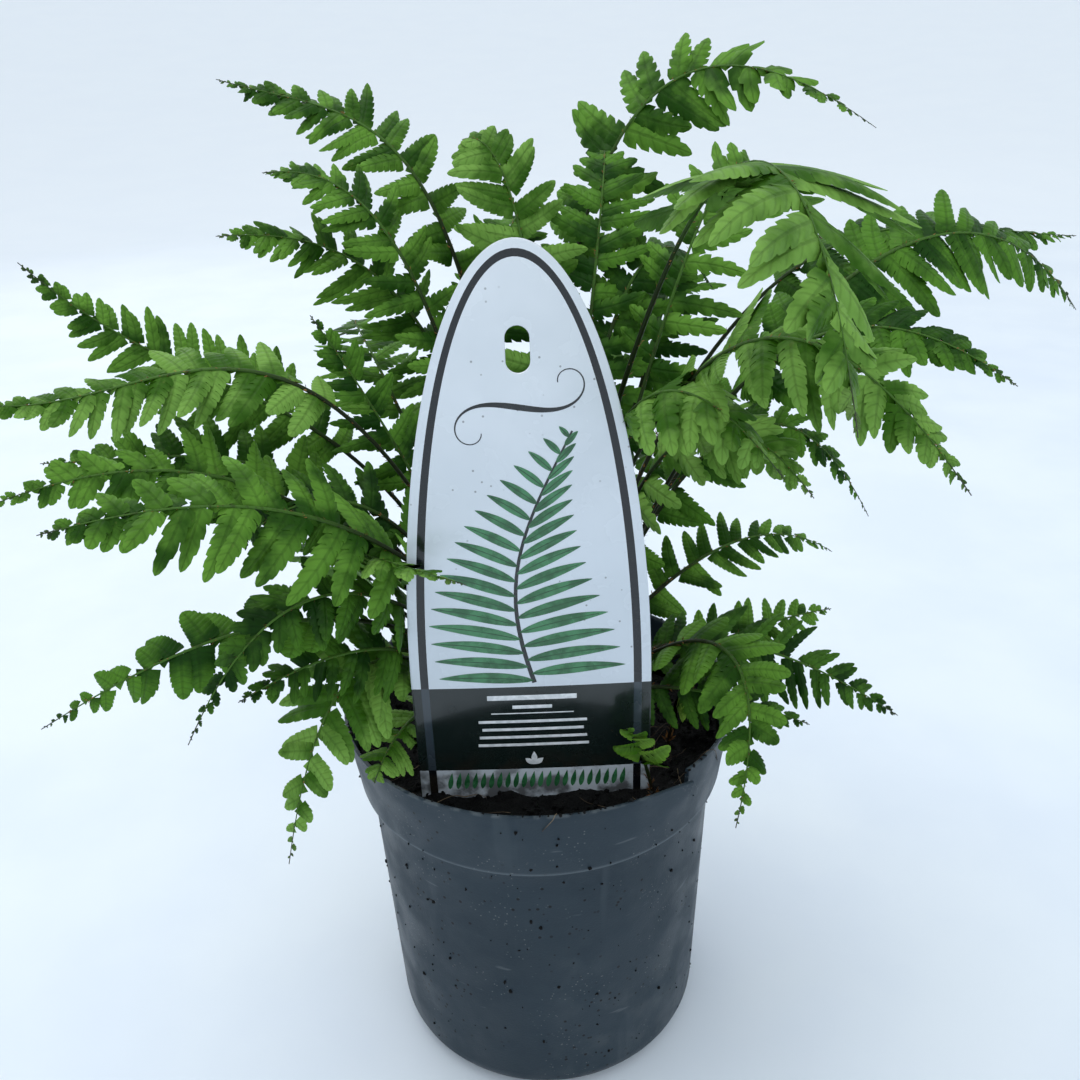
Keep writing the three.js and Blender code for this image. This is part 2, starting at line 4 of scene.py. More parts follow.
import bmesh
import bpy
import numpy as np
from mathutils import Matrix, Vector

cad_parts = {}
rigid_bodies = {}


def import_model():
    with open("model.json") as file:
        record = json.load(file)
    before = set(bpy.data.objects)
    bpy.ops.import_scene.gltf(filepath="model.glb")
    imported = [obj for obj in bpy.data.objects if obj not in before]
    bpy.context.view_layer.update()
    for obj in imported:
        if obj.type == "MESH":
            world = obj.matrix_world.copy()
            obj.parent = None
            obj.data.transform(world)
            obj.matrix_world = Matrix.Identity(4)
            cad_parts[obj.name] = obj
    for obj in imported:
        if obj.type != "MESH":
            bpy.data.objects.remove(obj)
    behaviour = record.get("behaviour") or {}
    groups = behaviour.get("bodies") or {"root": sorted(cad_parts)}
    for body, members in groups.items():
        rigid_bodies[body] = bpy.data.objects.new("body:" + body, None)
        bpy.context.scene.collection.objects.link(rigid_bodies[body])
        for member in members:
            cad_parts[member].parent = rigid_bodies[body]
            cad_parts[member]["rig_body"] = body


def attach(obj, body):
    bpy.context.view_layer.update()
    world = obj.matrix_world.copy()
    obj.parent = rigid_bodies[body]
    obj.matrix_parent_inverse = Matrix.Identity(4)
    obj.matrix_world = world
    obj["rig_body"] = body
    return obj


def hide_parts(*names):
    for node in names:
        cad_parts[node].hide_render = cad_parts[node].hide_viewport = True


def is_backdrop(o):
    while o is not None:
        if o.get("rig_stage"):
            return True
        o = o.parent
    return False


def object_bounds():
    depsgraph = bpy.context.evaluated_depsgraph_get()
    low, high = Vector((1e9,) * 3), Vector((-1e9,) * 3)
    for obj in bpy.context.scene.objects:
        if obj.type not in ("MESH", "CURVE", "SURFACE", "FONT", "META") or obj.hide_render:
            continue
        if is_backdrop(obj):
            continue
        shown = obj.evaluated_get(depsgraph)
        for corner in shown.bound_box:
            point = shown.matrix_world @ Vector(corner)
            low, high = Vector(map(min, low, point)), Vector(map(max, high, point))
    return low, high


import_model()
solid_box = [list(corner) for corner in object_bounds()]

# Pot
# One thin shell of recycled plastic, slate grey and moulded in one shot: a raised ring with
# drain holes, a rounded foot, a tapering body and a stepped collar. The collar has split at
# the right, and handling has left dust, scuffs and damp peat on it.

POT_HEIGHT = 0.130
RIM_RADIUS = 0.065
COLLAR_FOOT = 0.105
COLLAR_FOOT_RADIUS = 0.062
BODY_TOP_RADIUS = 0.0587
BODY_FOOT_RADIUS = 0.0552
FOOT_CURVE = 0.0085
WALL = 0.0014
POT_COLUMNS = 128
ROUND = POT_COLUMNS + 1
DRAIN_HOLES = 8
SPLIT_ROWS = 11
SPLIT_TURN = math.radians(-45)
DRAIN_RING = (0.020, 0.030, 0.0417)
DRAIN_HOLE_RADIUS = 0.0045
DRAIN_STEP = 0.002
CRACK_FOOT = 0.113


def tint(red, green, blue):
    """A colour as the eye reads it, 0 to 255 a channel, turned into light."""
    share = np.array([red, green, blue]) / 255
    light = np.where(share > 0.04045, ((share + 0.055) / 1.055) ** 2.4, share / 12.92)
    return (*light.tolist(), 1.0)


class Finish:
    """A surface finish under way, with short calls that add a node and wire it up."""

    def __init__(self, name, **constants):
        self.material = bpy.data.materials.new(name)
        self.material.use_nodes = True
        self.tree = self.material.node_tree
        self.shader = self.tree.nodes["Principled BSDF"]
        for socket, value in constants.items():
            self.shader.inputs[socket.replace("_", " ")].default_value = value
        self.place = self.add("TexCoord").outputs["Object"]

    def wire(self, source, socket):
        if isinstance(source, bpy.types.NodeSocket):
            self.tree.links.new(source, socket)
        else:
            socket.default_value = source

    def add(self, kind, sockets=None, **settings):
        made = self.tree.nodes.new("ShaderNode" + kind)
        for key, value in settings.items():
            setattr(made, key, value)
        for socket, source in (sockets or {}).items():
            self.wire(source, made.inputs[socket])
        return made

    def stretched(self, scale):
        """Places multiplied by a scale for each direction."""
        return self.add("Mapping", {"Vector": self.place, "Scale": scale}).outputs[0]

    def noise(self, scale, detail=3.0, where=None):
        sockets = {"Vector": where or self.place, "Scale": scale, "Detail": detail}
        return self.add("TexNoise", sockets).outputs["Fac"]

    def cells(self, scale, where=None):
        """Distance to the nearest of scattered points."""
        sockets = {"Vector": where or self.place, "Scale": scale}
        return self.add("TexVoronoi", sockets).outputs["Distance"]

    def maths(self, operation, first, second=0.5):
        return self.add("Math", {0: first, 1: second}, operation=operation).outputs[0]

    def ease(self, source, low, high, floor=0.0, top=1.0):
        """From floor to top as the source goes from low to high, eased at both ends."""
        sockets = {"Value": source, 1: low, 2: high, 3: floor, 4: top}
        return self.add("MapRange", sockets, interpolation_type="SMOOTHSTEP").outputs[0]

    def cloud(self, scale, detail, low, high, floor=0.0, top=1.0):
        """Soft noise, eased from floor to top as it goes from low to high."""
        return self.ease(self.noise(scale, detail), low, high, floor, top)

    def times(self, first, second):
        return self.maths("MULTIPLY", first, second)

    def mix(self, share, first, second):
        sockets = {0: share, 6: first, 7: second}
        return self.add("Mix", sockets, data_type="RGBA").outputs[2]

    def parts(self, source):
        return self.add("SeparateXYZ", {0: source}).outputs

    def attribute(self, name):
        return self.add("Attribute", attribute_name=name).outputs["Vector"]

    def bump(self, height, strength, distance):
        sockets = {"Height": height, "Strength": strength, "Distance": distance}
        self.wire(self.add("Bump", sockets).outputs[0], self.shader.inputs["Normal"])

    def ground(self, share, first, second):
        """The first coat goes from one colour to another."""
        self.colour = self.mix(share, tint(*first), tint(*second))

    def lay(self, share, shade):
        """Lays a colour over the coats so far, as much of it as the share says."""
        self.colour = self.mix(share, self.colour, tint(*shade))

    def show(self, roughness):
        self.wire(self.colour, self.shader.inputs["Base Color"])
        self.wire(roughness, self.shader.inputs["Roughness"])
        return self.material


def grid_faces(rows, columns, closed_rows=False, closed_columns=False):
    """Quads between the points of a grid, whose point numbers run along each row in turn."""
    row = np.arange(rows if closed_rows else rows - 1)[:, None]
    column = np.arange(columns if closed_columns else columns - 1)[None, :]
    below, beside = (row + 1) % rows, (column + 1) % columns
    corners = [row * columns + column, row * columns + beside,
               below * columns + beside, below * columns + column]
    return np.stack(np.broadcast_arrays(*corners), -1).reshape(-1, 4)


def repeated(faces, count, stride):
    """The same faces on each of a count of like bodies that have stride points each."""
    shift = np.arange(count)[:, None, None] * stride
    return (faces[None] + shift).reshape(-1, faces.shape[-1])


class Skins:
    """Grids and small bodies gathered into one mesh, with a finish number for each face."""

    def __init__(self):
        self.points, self.faces, self.finishes, self.marks, self.count = [], [], [], [], 0

    def add(self, points, faces, finish=0, **marks):
        points = np.asarray(points, float).reshape(-1, 3)
        for corners in faces if isinstance(faces, list) else [faces]:
            self.faces.append(np.asarray(corners) + self.count)
            self.finishes.append(np.full(len(corners), finish))
        self.points.append(points)
        self.marks.append({key: np.broadcast_to(np.reshape(value, (-1, 3)), points.shape)
                           for key, value in marks.items()})
        self.count += len(points)

    def piece(self, name, finishes, sharp=50.0):
        """The mesh as an object that rides on the part, its creases sharp past an angle."""
        mesh = bpy.data.meshes.new(name)
        points = np.concatenate(self.points)
        corners = np.concatenate([faces.ravel() for faces in self.faces])
        sizes = np.concatenate([np.full(len(faces), faces.shape[1]) for faces in self.faces])
        mesh.vertices.add(len(points))
        mesh.vertices.foreach_set("co", points.ravel())
        mesh.loops.add(len(corners))
        mesh.loops.foreach_set("vertex_index", corners)
        mesh.polygons.add(len(sizes))
        mesh.polygons.foreach_set("loop_start", np.concatenate([[0], np.cumsum(sizes)[:-1]]))
        mesh.polygons.foreach_set("material_index", np.concatenate(self.finishes))
        mesh.update(calc_edges=True)
        for key in self.marks[0]:
            values = np.concatenate([marks[key] for marks in self.marks])
            mark = mesh.attributes.new(key, "FLOAT_VECTOR", "POINT")
            mark.data.foreach_set("vector", values.ravel())
        mesh.shade_smooth()
        mesh.set_sharp_from_angle(angle=math.radians(sharp))
        for finish in finishes:
            mesh.materials.append(finish)
        made = bpy.data.objects.new(name, mesh)
        bpy.context.scene.collection.objects.link(made)
        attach(made, "root")
        return made


def seal(piece, gap=1e-6):
    """Merges the points that meet at seams and poles, and turns the faces outwards."""
    shell = bmesh.new()
    shell.from_mesh(piece.data)
    bmesh.ops.remove_doubles(shell, verts=shell.verts, dist=gap)
    bmesh.ops.recalc_face_normals(shell, faces=shell.faces)
    shell.to_mesh(piece.data)
    shell.free()


def turned_skin(profile, angles):
    """A profile of (radius, height) rows turned to each angle: x = r cos a, y = r sin a."""
    radius, height = np.asarray(profile, float).T
    angles = np.broadcast_to(angles, (len(radius), np.shape(angles)[-1]))
    x = radius[:, None] * np.cos(angles)
    y = radius[:, None] * np.sin(angles)
    return np.stack([x, y, np.broadcast_to(height[:, None], x.shape)], -1)


def wall_profile():
    """Rows up the outside of the pot, over the rim and down the inside, with equal rows of the
    collar on both sides, so that the split's edges can be closed between them."""
    turn = np.linspace(0, np.pi / 2, 8)
    foot = np.column_stack([BODY_FOOT_RADIUS - FOOT_CURVE * (1 - np.sin(turn)),
                            FOOT_CURVE * (1 - np.cos(turn))])
    rise = np.linspace(0.08, 1, 14)[:, None]
    body = (1 - rise) * foot[-1] + rise * [BODY_TOP_RADIUS, COLLAR_FOOT - 0.0016]
    step = np.array([[0.0590, 0.1040], [0.0600, 0.1046], [0.0612, 0.1049], [0.0619, 0.1054],
                     [0.06215, 0.1064]])
    split = np.linspace(CRACK_FOOT, POT_HEIGHT - 0.0008, 9)
    lean = (RIM_RADIUS - COLLAR_FOOT_RADIUS) / (POT_HEIGHT - COLLAR_FOOT)
    collar = np.column_stack([COLLAR_FOOT_RADIUS + lean * (split - COLLAR_FOOT), split])
    rim = np.array([[RIM_RADIUS - 0.0001, POT_HEIGHT - 0.0003], [RIM_RADIUS - 0.0004, POT_HEIGHT]])
    rim_back = np.array([[RIM_RADIUS - WALL + 0.0004, POT_HEIGHT],
                         [RIM_RADIUS - WALL + 0.0001, POT_HEIGHT - 0.0003]])
    inside = collar[::-1] - [WALL, 0]
    down = np.array([[0.0606, 0.1064], [0.0573, 0.1038], [0.0538, 0.0085], [0.0525, 0.0046],
                     [0.0495, 0.0024], [0.0445, 0.0018], [DRAIN_RING[2], DRAIN_STEP + WALL]])
    start = np.array([[DRAIN_RING[2], DRAIN_STEP], [0.0437, 0.0]])
    rows = [start, foot, body, step, collar, rim, rim_back, inside, down]
    return np.concatenate(rows), len(start) + len(foot) + len(body) + len(step)


pot = Skins()
profile, first_split = wall_profile()
columns = np.arange(ROUND)
even_angles = SPLIT_TURN + 2 * np.pi * columns / POT_COLUMNS
opened = np.clip((profile[:, 1] - CRACK_FOOT) / (POT_HEIGHT - CRACK_FOOT), 0, 1)[:, None]
past = columns[None, :] * 2 * np.pi / POT_COLUMNS
left = 2 * np.pi - past
lips = opened * (np.exp(-past / 0.12) - np.exp(-left / 0.12)) * 0.012
drift = -math.radians(1) * opened * (np.exp(-past / 0.2) + np.exp(-left / 0.2))
wall = turned_skin(profile, even_angles + lips + drift)
outward = wall / np.linalg.norm(wall[..., :2], axis=-1, keepdims=True) * [1, 1, 0]
bent = opened ** 1.4 * (0.0022 * np.exp(-left / 0.16) - 0.0012 * np.exp(-past / 0.2))
wave = 0.0004 * opened * np.sin(3 * past + 0.6)
wall += outward * (bent + wave)[..., None]
wall[..., 2] -= 0.0018 * opened ** 2 * np.exp(-left / 0.22)
pot.add(wall, grid_faces(len(profile), ROUND))

# The two edges of the split, from its foot over the rim, as ladders between outside and inside:
# nine rows of the collar and two of the rim lie outside, and as many inside.
steps = np.arange(SPLIT_ROWS - 1)
for column, ahead in ((0, 1), (POT_COLUMNS, 0)):
    outer = (first_split + steps) * ROUND + column
    inner = (first_split + 2 * SPLIT_ROWS - 1 - steps) * ROUND + column
    ladder = np.stack([outer, outer + ROUND, inner - ROUND, inner], -1)
    pot.faces.append(ladder[:, ::-1] if ahead else ladder)
    pot.finishes.append(np.zeros(len(ladder), int))

pad = [[0, 0], [0.009, 0], [0.0176, 0], [0.0183, 0.0003], [0.0196, 0.0018],
       [DRAIN_RING[0], DRAIN_STEP]]
floor_rows = [[reach, DRAIN_STEP + WALL] for reach in (DRAIN_RING[0], 0.01, 0)]
for rows in (pad, floor_rows):
    pot.add(turned_skin(rows, even_angles), grid_faces(len(rows), ROUND))


def drain_sector(middle):
    """One eighth of the drain ring round its hole: rings shrink from the sector's edge to the
    hole's circle, below and above the plate, and the hole's wall joins them."""
    span = np.linspace(-np.pi / DRAIN_HOLES, np.pi / DRAIN_HOLES, 17) + middle
    side = np.linspace(DRAIN_RING[0], DRAIN_RING[2], 5)[1:-1]
    edge_radius = np.concatenate([np.full(17, DRAIN_RING[2]), side[::-1],
                                  np.full(17, DRAIN_RING[0]), side])
    edge_angle = np.concatenate([span, np.full(3, span[-1]), span[::-1], np.full(3, span[0])])
    edge = np.stack([edge_radius * np.cos(edge_angle), edge_radius * np.sin(edge_angle)], -1)
    centre = DRAIN_RING[1] * np.array([math.cos(middle), math.sin(middle)])
    toward = edge - centre
    hole = centre + DRAIN_HOLE_RADIUS * toward / np.linalg.norm(toward, axis=1, keepdims=True)
    shares = np.array([0, 0.4, 0.75, 1, 1, 0.75, 0.4, 0])[:, None, None]
    heights = np.repeat([DRAIN_STEP, DRAIN_STEP + WALL], 4)
    flat = edge * (1 - shares) + hole * shares
    return np.concatenate([flat, np.broadcast_to(heights[:, None, None], (8, len(edge), 1))], -1)


for eighth in range(DRAIN_HOLES):
    sector = drain_sector(2 * math.pi / DRAIN_HOLES * eighth)
    pot.add(sector, grid_faces(*sector.shape[:2], closed_columns=True))

plastic = Finish("pot_slate_plastic", Specular_IOR_Level=0.22)
height = plastic.parts(plastic.place)[2]
cloudy = plastic.cloud(18, 3, 0.3, 0.7)
plastic.ground(cloudy, (33, 46, 55), (40, 53, 62))
streaks = plastic.noise(130, 2, plastic.stretched((1, 1, 0.1)))
plastic.lay(plastic.ease(streaks, 0.62, 0.74, 0, 0.22), (70, 80, 86))
film = plastic.times(plastic.cloud(90, 6, 0.45, 0.75),
                     plastic.cloud(14, 2, 0.4, 0.7, 0.02, 0.3))
plastic.lay(film, (88, 94, 96))
grains = plastic.ease(plastic.cells(620), 0.1, 0.2, 1, 0)
grains = plastic.times(grains, plastic.cloud(60, 2, 0.5, 0.62, 0, 0.5))
plastic.lay(grains, (118, 122, 120))
peaty = plastic.ease(plastic.cells(300), 0.12, 0.2, 1, 0)
peaty = plastic.times(peaty, plastic.cloud(45, 2, 0.5, 0.6))
plastic.lay(peaty, (12, 14, 14))
scuffs = plastic.noise(210, 2, plastic.stretched((0.25, 0.25, 1.6)))
scuffs = plastic.ease(scuffs, 0.7, 0.76, 0, 0.3)
plastic.lay(scuffs, (104, 112, 116))
# Paler patches along the top of the rim.
rim_paler = plastic.times(plastic.ease(height, POT_HEIGHT - 0.0012, POT_HEIGHT),
                     plastic.cloud(240, 3, 0.45, 0.6, 0, 0.5))
plastic.lay(rim_paler, (96, 104, 108))
# Painted highlight: a paler line along the foot of the collar, where its step catches the light.
ledge_highlight = plastic.times(plastic.ease(height, COLLAR_FOOT - 0.001, COLLAR_FOOT),
                      plastic.ease(height, COLLAR_FOOT + 0.0006, COLLAR_FOOT + 0.002, 0.5, 0))
plastic.lay(ledge_highlight, (96, 106, 112))
plastic.bump(plastic.noise(1500, 3), 0.2, 0.0003)
plastic.show(plastic.cloud(70, 4, 0.3, 0.7, 0.34, 0.56))
pot_shell = pot.piece("pot_shell", [plastic.material], 35)
seal(pot_shell)
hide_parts("pot")

# Peat
# Damp black potting peat, pressed in by hand to a finger below the rim. It is crumbly, with
# loose grains on top, fine root fibres, and specks that stick to the pot's rim and outside.

SOIL_TOP = 0.114
PEAT_EDGE_RADIUS = 0.0612
PEAT_ROWS, PEAT_COLUMNS = 84, 225
LOOSE_GRAINS = 1500
WALL_SPECKS = 230
RIM_GRAINS = 130
RIM_MIDDLE = 0.0641


def soft_random(x, y, cell, seed):
    """Soft heights from -1 to 1: random values on a square net of that cell, eased between."""
    net = np.random.default_rng(seed).uniform(-1, 1, (64, 64))
    column, row = np.floor(x / cell).astype(int), np.floor(y / cell).astype(int)
    u, v = x / cell - column, y / cell - row
    u, v = u * u * (3 - 2 * u), v * v * (3 - 2 * v)
    near = net[column % 64, row % 64] * (1 - u) + net[(column + 1) % 64, row % 64] * u
    far = net[column % 64, (row + 1) % 64] * (1 - u) + net[(column + 1) % 64, (row + 1) % 64] * u
    return near * (1 - v) + far * v


def peat_height(x, y):
    """Two crossed sets of long waves, then lumps of 9, 4 and 1.6 mm, and peat banked up
    against the collar in places."""
    a, b = x * 1000, y * 1000
    waves = 0.6 * np.sin(0.31 * a + 1.7) * np.cos(0.27 * b - 0.4) + 0.4 * np.sin(0.53 * (a + b))
    radius = np.hypot(x, y)
    inner = np.clip((0.056 - radius) / 0.012, 0, 1)
    lumps = 1.3 * soft_random(x, y, 0.009, 1) + 0.9 * np.abs(soft_random(x, y, 0.004, 2))
    lumps += 0.5 * soft_random(x, y, 0.0016, 3)
    bank = np.clip((radius - 0.050) / 0.011, 0, 1) ** 2 * (1.6 + 1.8 * soft_random(x, y, 0.017, 4))
    return SOIL_TOP + 0.001 * (1.4 * waves * inner + lumps * (0.5 + 0.5 * inner) + bank)


bed = Skins()
turns = np.linspace(0, 2 * np.pi, PEAT_COLUMNS)
ring_radius = np.linspace(0, PEAT_EDGE_RADIUS, PEAT_ROWS) ** 0.9 * PEAT_EDGE_RADIUS ** 0.1
top_x, top_y = ring_radius[:, None] * np.cos(turns), ring_radius[:, None] * np.sin(turns)
top = np.stack([top_x, top_y, peat_height(top_x, top_y)], -1)
bed.add(top, grid_faces(PEAT_ROWS, PEAT_COLUMNS))
side_rows = np.array([[PEAT_EDGE_RADIUS, 0], [0.0592, 0.1063], [0.0566, 0.1030], [0.0532, 0.0088],
                      [0.0497, 0.0052], [0.0430, 0.0042], [0, 0.0042]])
side = turned_skin(side_rows, turns)
side[0] = top[-1]
bed.add(side, grid_faces(len(side_rows), PEAT_COLUMNS))

peat = Finish("damp_black_peat", Specular_IOR_Level=0.2)
peat.ground(peat.cloud(260, 6, 0.35, 0.7), (4, 5, 6), (17, 18, 18))
peat.lay(peat.cloud(900, 3, 0.66, 0.76, 0, 0.5), (44, 39, 33))
peat.bump(peat.noise(1100, 8), 0.9, 0.0012)
peat.show(peat.cloud(120, 3, 0.3, 0.7, 0.7, 0.95))
peat_bed = bed.piece("peat_bed", [peat.material], 180)
seal(peat_bed)
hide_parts("soil")


def crumb_bodies(centres, sizes, draw):
    """Twenty-sided grains: two poles and two rings of five points, each point pushed in or out
    and the whole body stretched by chance."""
    ring = np.arange(5) * 2 * np.pi / 5
    upper = np.column_stack([0.894 * np.cos(ring), 0.894 * np.sin(ring), np.full(5, 0.447)])
    lower = np.column_stack([0.894 * np.cos(ring + np.pi / 5), 0.894 * np.sin(ring + np.pi / 5),
                             np.full(5, -0.447)])
    body = np.vstack([[[0, 0, 1]], upper, lower, [[0, 0, -1]]])
    count = len(centres)
    shapes = body * draw.uniform(0.6, 1.25, (count, 12, 1)) * draw.uniform(0.6, 1.2, (count, 1, 3))
    i = np.arange(5)
    j = (i + 1) % 5
    faces = np.concatenate([
        np.stack([0 * i, 1 + i, 1 + j], -1),
        np.stack([1 + i, 6 + i, 1 + j], -1),
        np.stack([1 + j, 6 + i, 6 + j], -1),
        np.stack([6 + i, 11 + 0 * i, 6 + j], -1),
    ])
    points = centres[:, None] + shapes * np.asarray(sizes)[:, None, None] / 2
    return points, repeated(faces, count, 12)


draw = np.random.default_rng(21)
loose = Skins()
radius = 0.060 * np.sqrt(draw.uniform(0, 1, LOOSE_GRAINS))
angle = draw.uniform(0, 2 * np.pi, LOOSE_GRAINS)
x, y = radius * np.cos(angle), radius * np.sin(angle)
size = 0.0007 + 0.0022 * draw.uniform(0, 1, LOOSE_GRAINS) ** 3
loose.add(*crumb_bodies(np.stack([x, y, peat_height(x, y) + 0.2 * size], -1), size, draw))
# Specks stick to the outside of the body and the collar, most of them toward the front.
height = draw.uniform(0.004, 0.127, WALL_SPECKS)
angle = math.radians(-90) + draw.normal(0, 1.5, WALL_SPECKS)
outside = np.interp(height, [0.0, 0.003, 0.0085, 0.1034, 0.1054, 0.130],
                    [0.0470, 0.0515, 0.0552, 0.0587, 0.0621, 0.0650])
size = 0.0005 + 0.0013 * draw.uniform(0, 1, WALL_SPECKS) ** 3
spots = np.stack([outside * np.cos(angle), outside * np.sin(angle), height], -1)
loose.add(*crumb_bodies(spots, size, draw))
# Grains along the top of the rim.
angle = draw.uniform(0, 2 * np.pi, RIM_GRAINS)
size = 0.0006 + 0.0012 * draw.uniform(0, 1, RIM_GRAINS) ** 2
spots = np.stack([RIM_MIDDLE * np.cos(angle), RIM_MIDDLE * np.sin(angle),
                  np.full(RIM_GRAINS, POT_HEIGHT)], -1)
loose.add(*crumb_bodies(spots, size, draw))
peat_grains = loose.piece("peat_grains", [peat.material], 20)


def unit(vectors):
    return vectors / np.linalg.norm(vectors, axis=-1, keepdims=True)


def tube_faces(count, stations, sides):
    """The faces of a count of like tubes: the skin of each and a cap at either end."""
    stride = stations * sides
    ring = np.arange(sides)[None]
    return [repeated(grid_faces(stations, sides, closed_columns=True), count, stride),
            repeated(ring[:, ::-1], count, stride),
            repeated(ring + stride - sides, count, stride)]


def swept(paths, across, above, half_width, half_depth, sides, groove=0.0):
    """Tubes along paths of (tube, station) points: at angle t round each station the skin is
    half_width cos t across and half_depth sin t above, pinched by the groove at the top."""
    turn = np.arange(sides) * 2 * np.pi / sides
    pinch = 1 - groove * np.exp(-((turn - np.pi / 2) / 0.5) ** 2)
    side = (np.cos(turn) * pinch)[:, None]
    rise = (np.sin(turn) * pinch)[:, None]
    rings = (paths[..., None, :] + across[..., None, :] * side * half_width[..., None, None]
             + above[..., None, :] * rise * half_depth[..., None, None])
    return rings, tube_faces(*paths.shape[:2], sides)


count, stations = 48, 9
share = np.linspace(-0.5, 0.5, stations)[None, :]
radius = 0.056 * np.sqrt(draw.uniform(0.02, 1, count))[:, None]
angle = draw.uniform(0, 2 * np.pi, count)[:, None]
heading = draw.uniform(0, 2 * np.pi, count)[:, None]
length = draw.uniform(0.006, 0.022, count)[:, None]
bow = draw.uniform(-0.5, 0.5, count)[:, None]
x = radius * np.cos(angle) + length * (share * np.cos(heading) - bow * share ** 2 * np.sin(heading))
y = radius * np.sin(angle) + length * (share * np.sin(heading) + bow * share ** 2 * np.cos(heading))
lift = 0.0006 + 0.10 * length * (0.25 - share ** 2) * draw.uniform(0, 2.5, count)[:, None]
reach = np.minimum(1, 0.0605 / np.hypot(x, y))
x, y = x * reach, y * reach
fibre = np.stack([x, y, peat_height(x, y) + lift], -1)
along = unit(np.gradient(fibre, axis=1))
across = unit(np.cross(along, [0, 0, 1.0]))
thin = 0.00008 + 0.00008 * draw.uniform(0, 1, (count, 1)) * np.cos(share * 2.6)
strands = Skins()
strands.add(*swept(fibre, across, np.cross(across, along), thin, thin, 5))
# One long root hangs over the rim at the right, and a shorter one over the front of the rim.
# For each: the angle where it starts, how far round it wanders and how far down it hangs.
for start, heading, span in ((math.radians(-40), 0.22, 1.0), (math.radians(-84), -0.10, 0.5)):
    share = np.linspace(0, 1, 16)
    turn = start + heading * share
    bends = [0, 0.3, 0.42, 0.5, 1]
    over = np.interp(share, bends, [0.055, 0.0635, 0.0647, 0.0655, 0.0650 - 0.0012 * span])
    rise = np.interp(share, bends, [0.1165, 0.1304, 0.1306, 0.1298, 0.1298 - 0.010 * span])
    root = np.stack([over * np.cos(turn), over * np.sin(turn), rise], -1)[None]
    along = unit(np.gradient(root, axis=1))
    across = np.stack([-np.sin(turn), np.cos(turn), 0 * turn], -1)[None]
    thin = np.full((1, 16), 0.00013)
    strands.add(*swept(root, across, np.cross(across, along), thin, thin, 5))
fibres = Finish("pale_root_fibre", Specular_IOR_Level=0.3)
fibres.ground(fibres.cloud(120, 3, 0.35, 0.65), (58, 48, 38), (118, 104, 84))
fibres.show(fibres.cloud(500, 2, 0.3, 0.7, 0.6, 0.9))
root_fibres = strands.piece("root_fibres", [fibres.material], 180)

# Fronds, each as it is grown
# A frond is a stiff stalk and a thin blade cut to the rib into leaflets, which are toothed or
# lobed. All stand in the crown of one short rhizome and arch out over the pot.

MM = 0.001
CROWN = 122
CROWN_BACK = 8
PEG_FOOT = 108
STAND_SPACING = 4.1
STAND_ROUNDS = 60
STIPE_HALF_WIDTH = 1.15
STIPE_HALF_DEPTH = 0.85

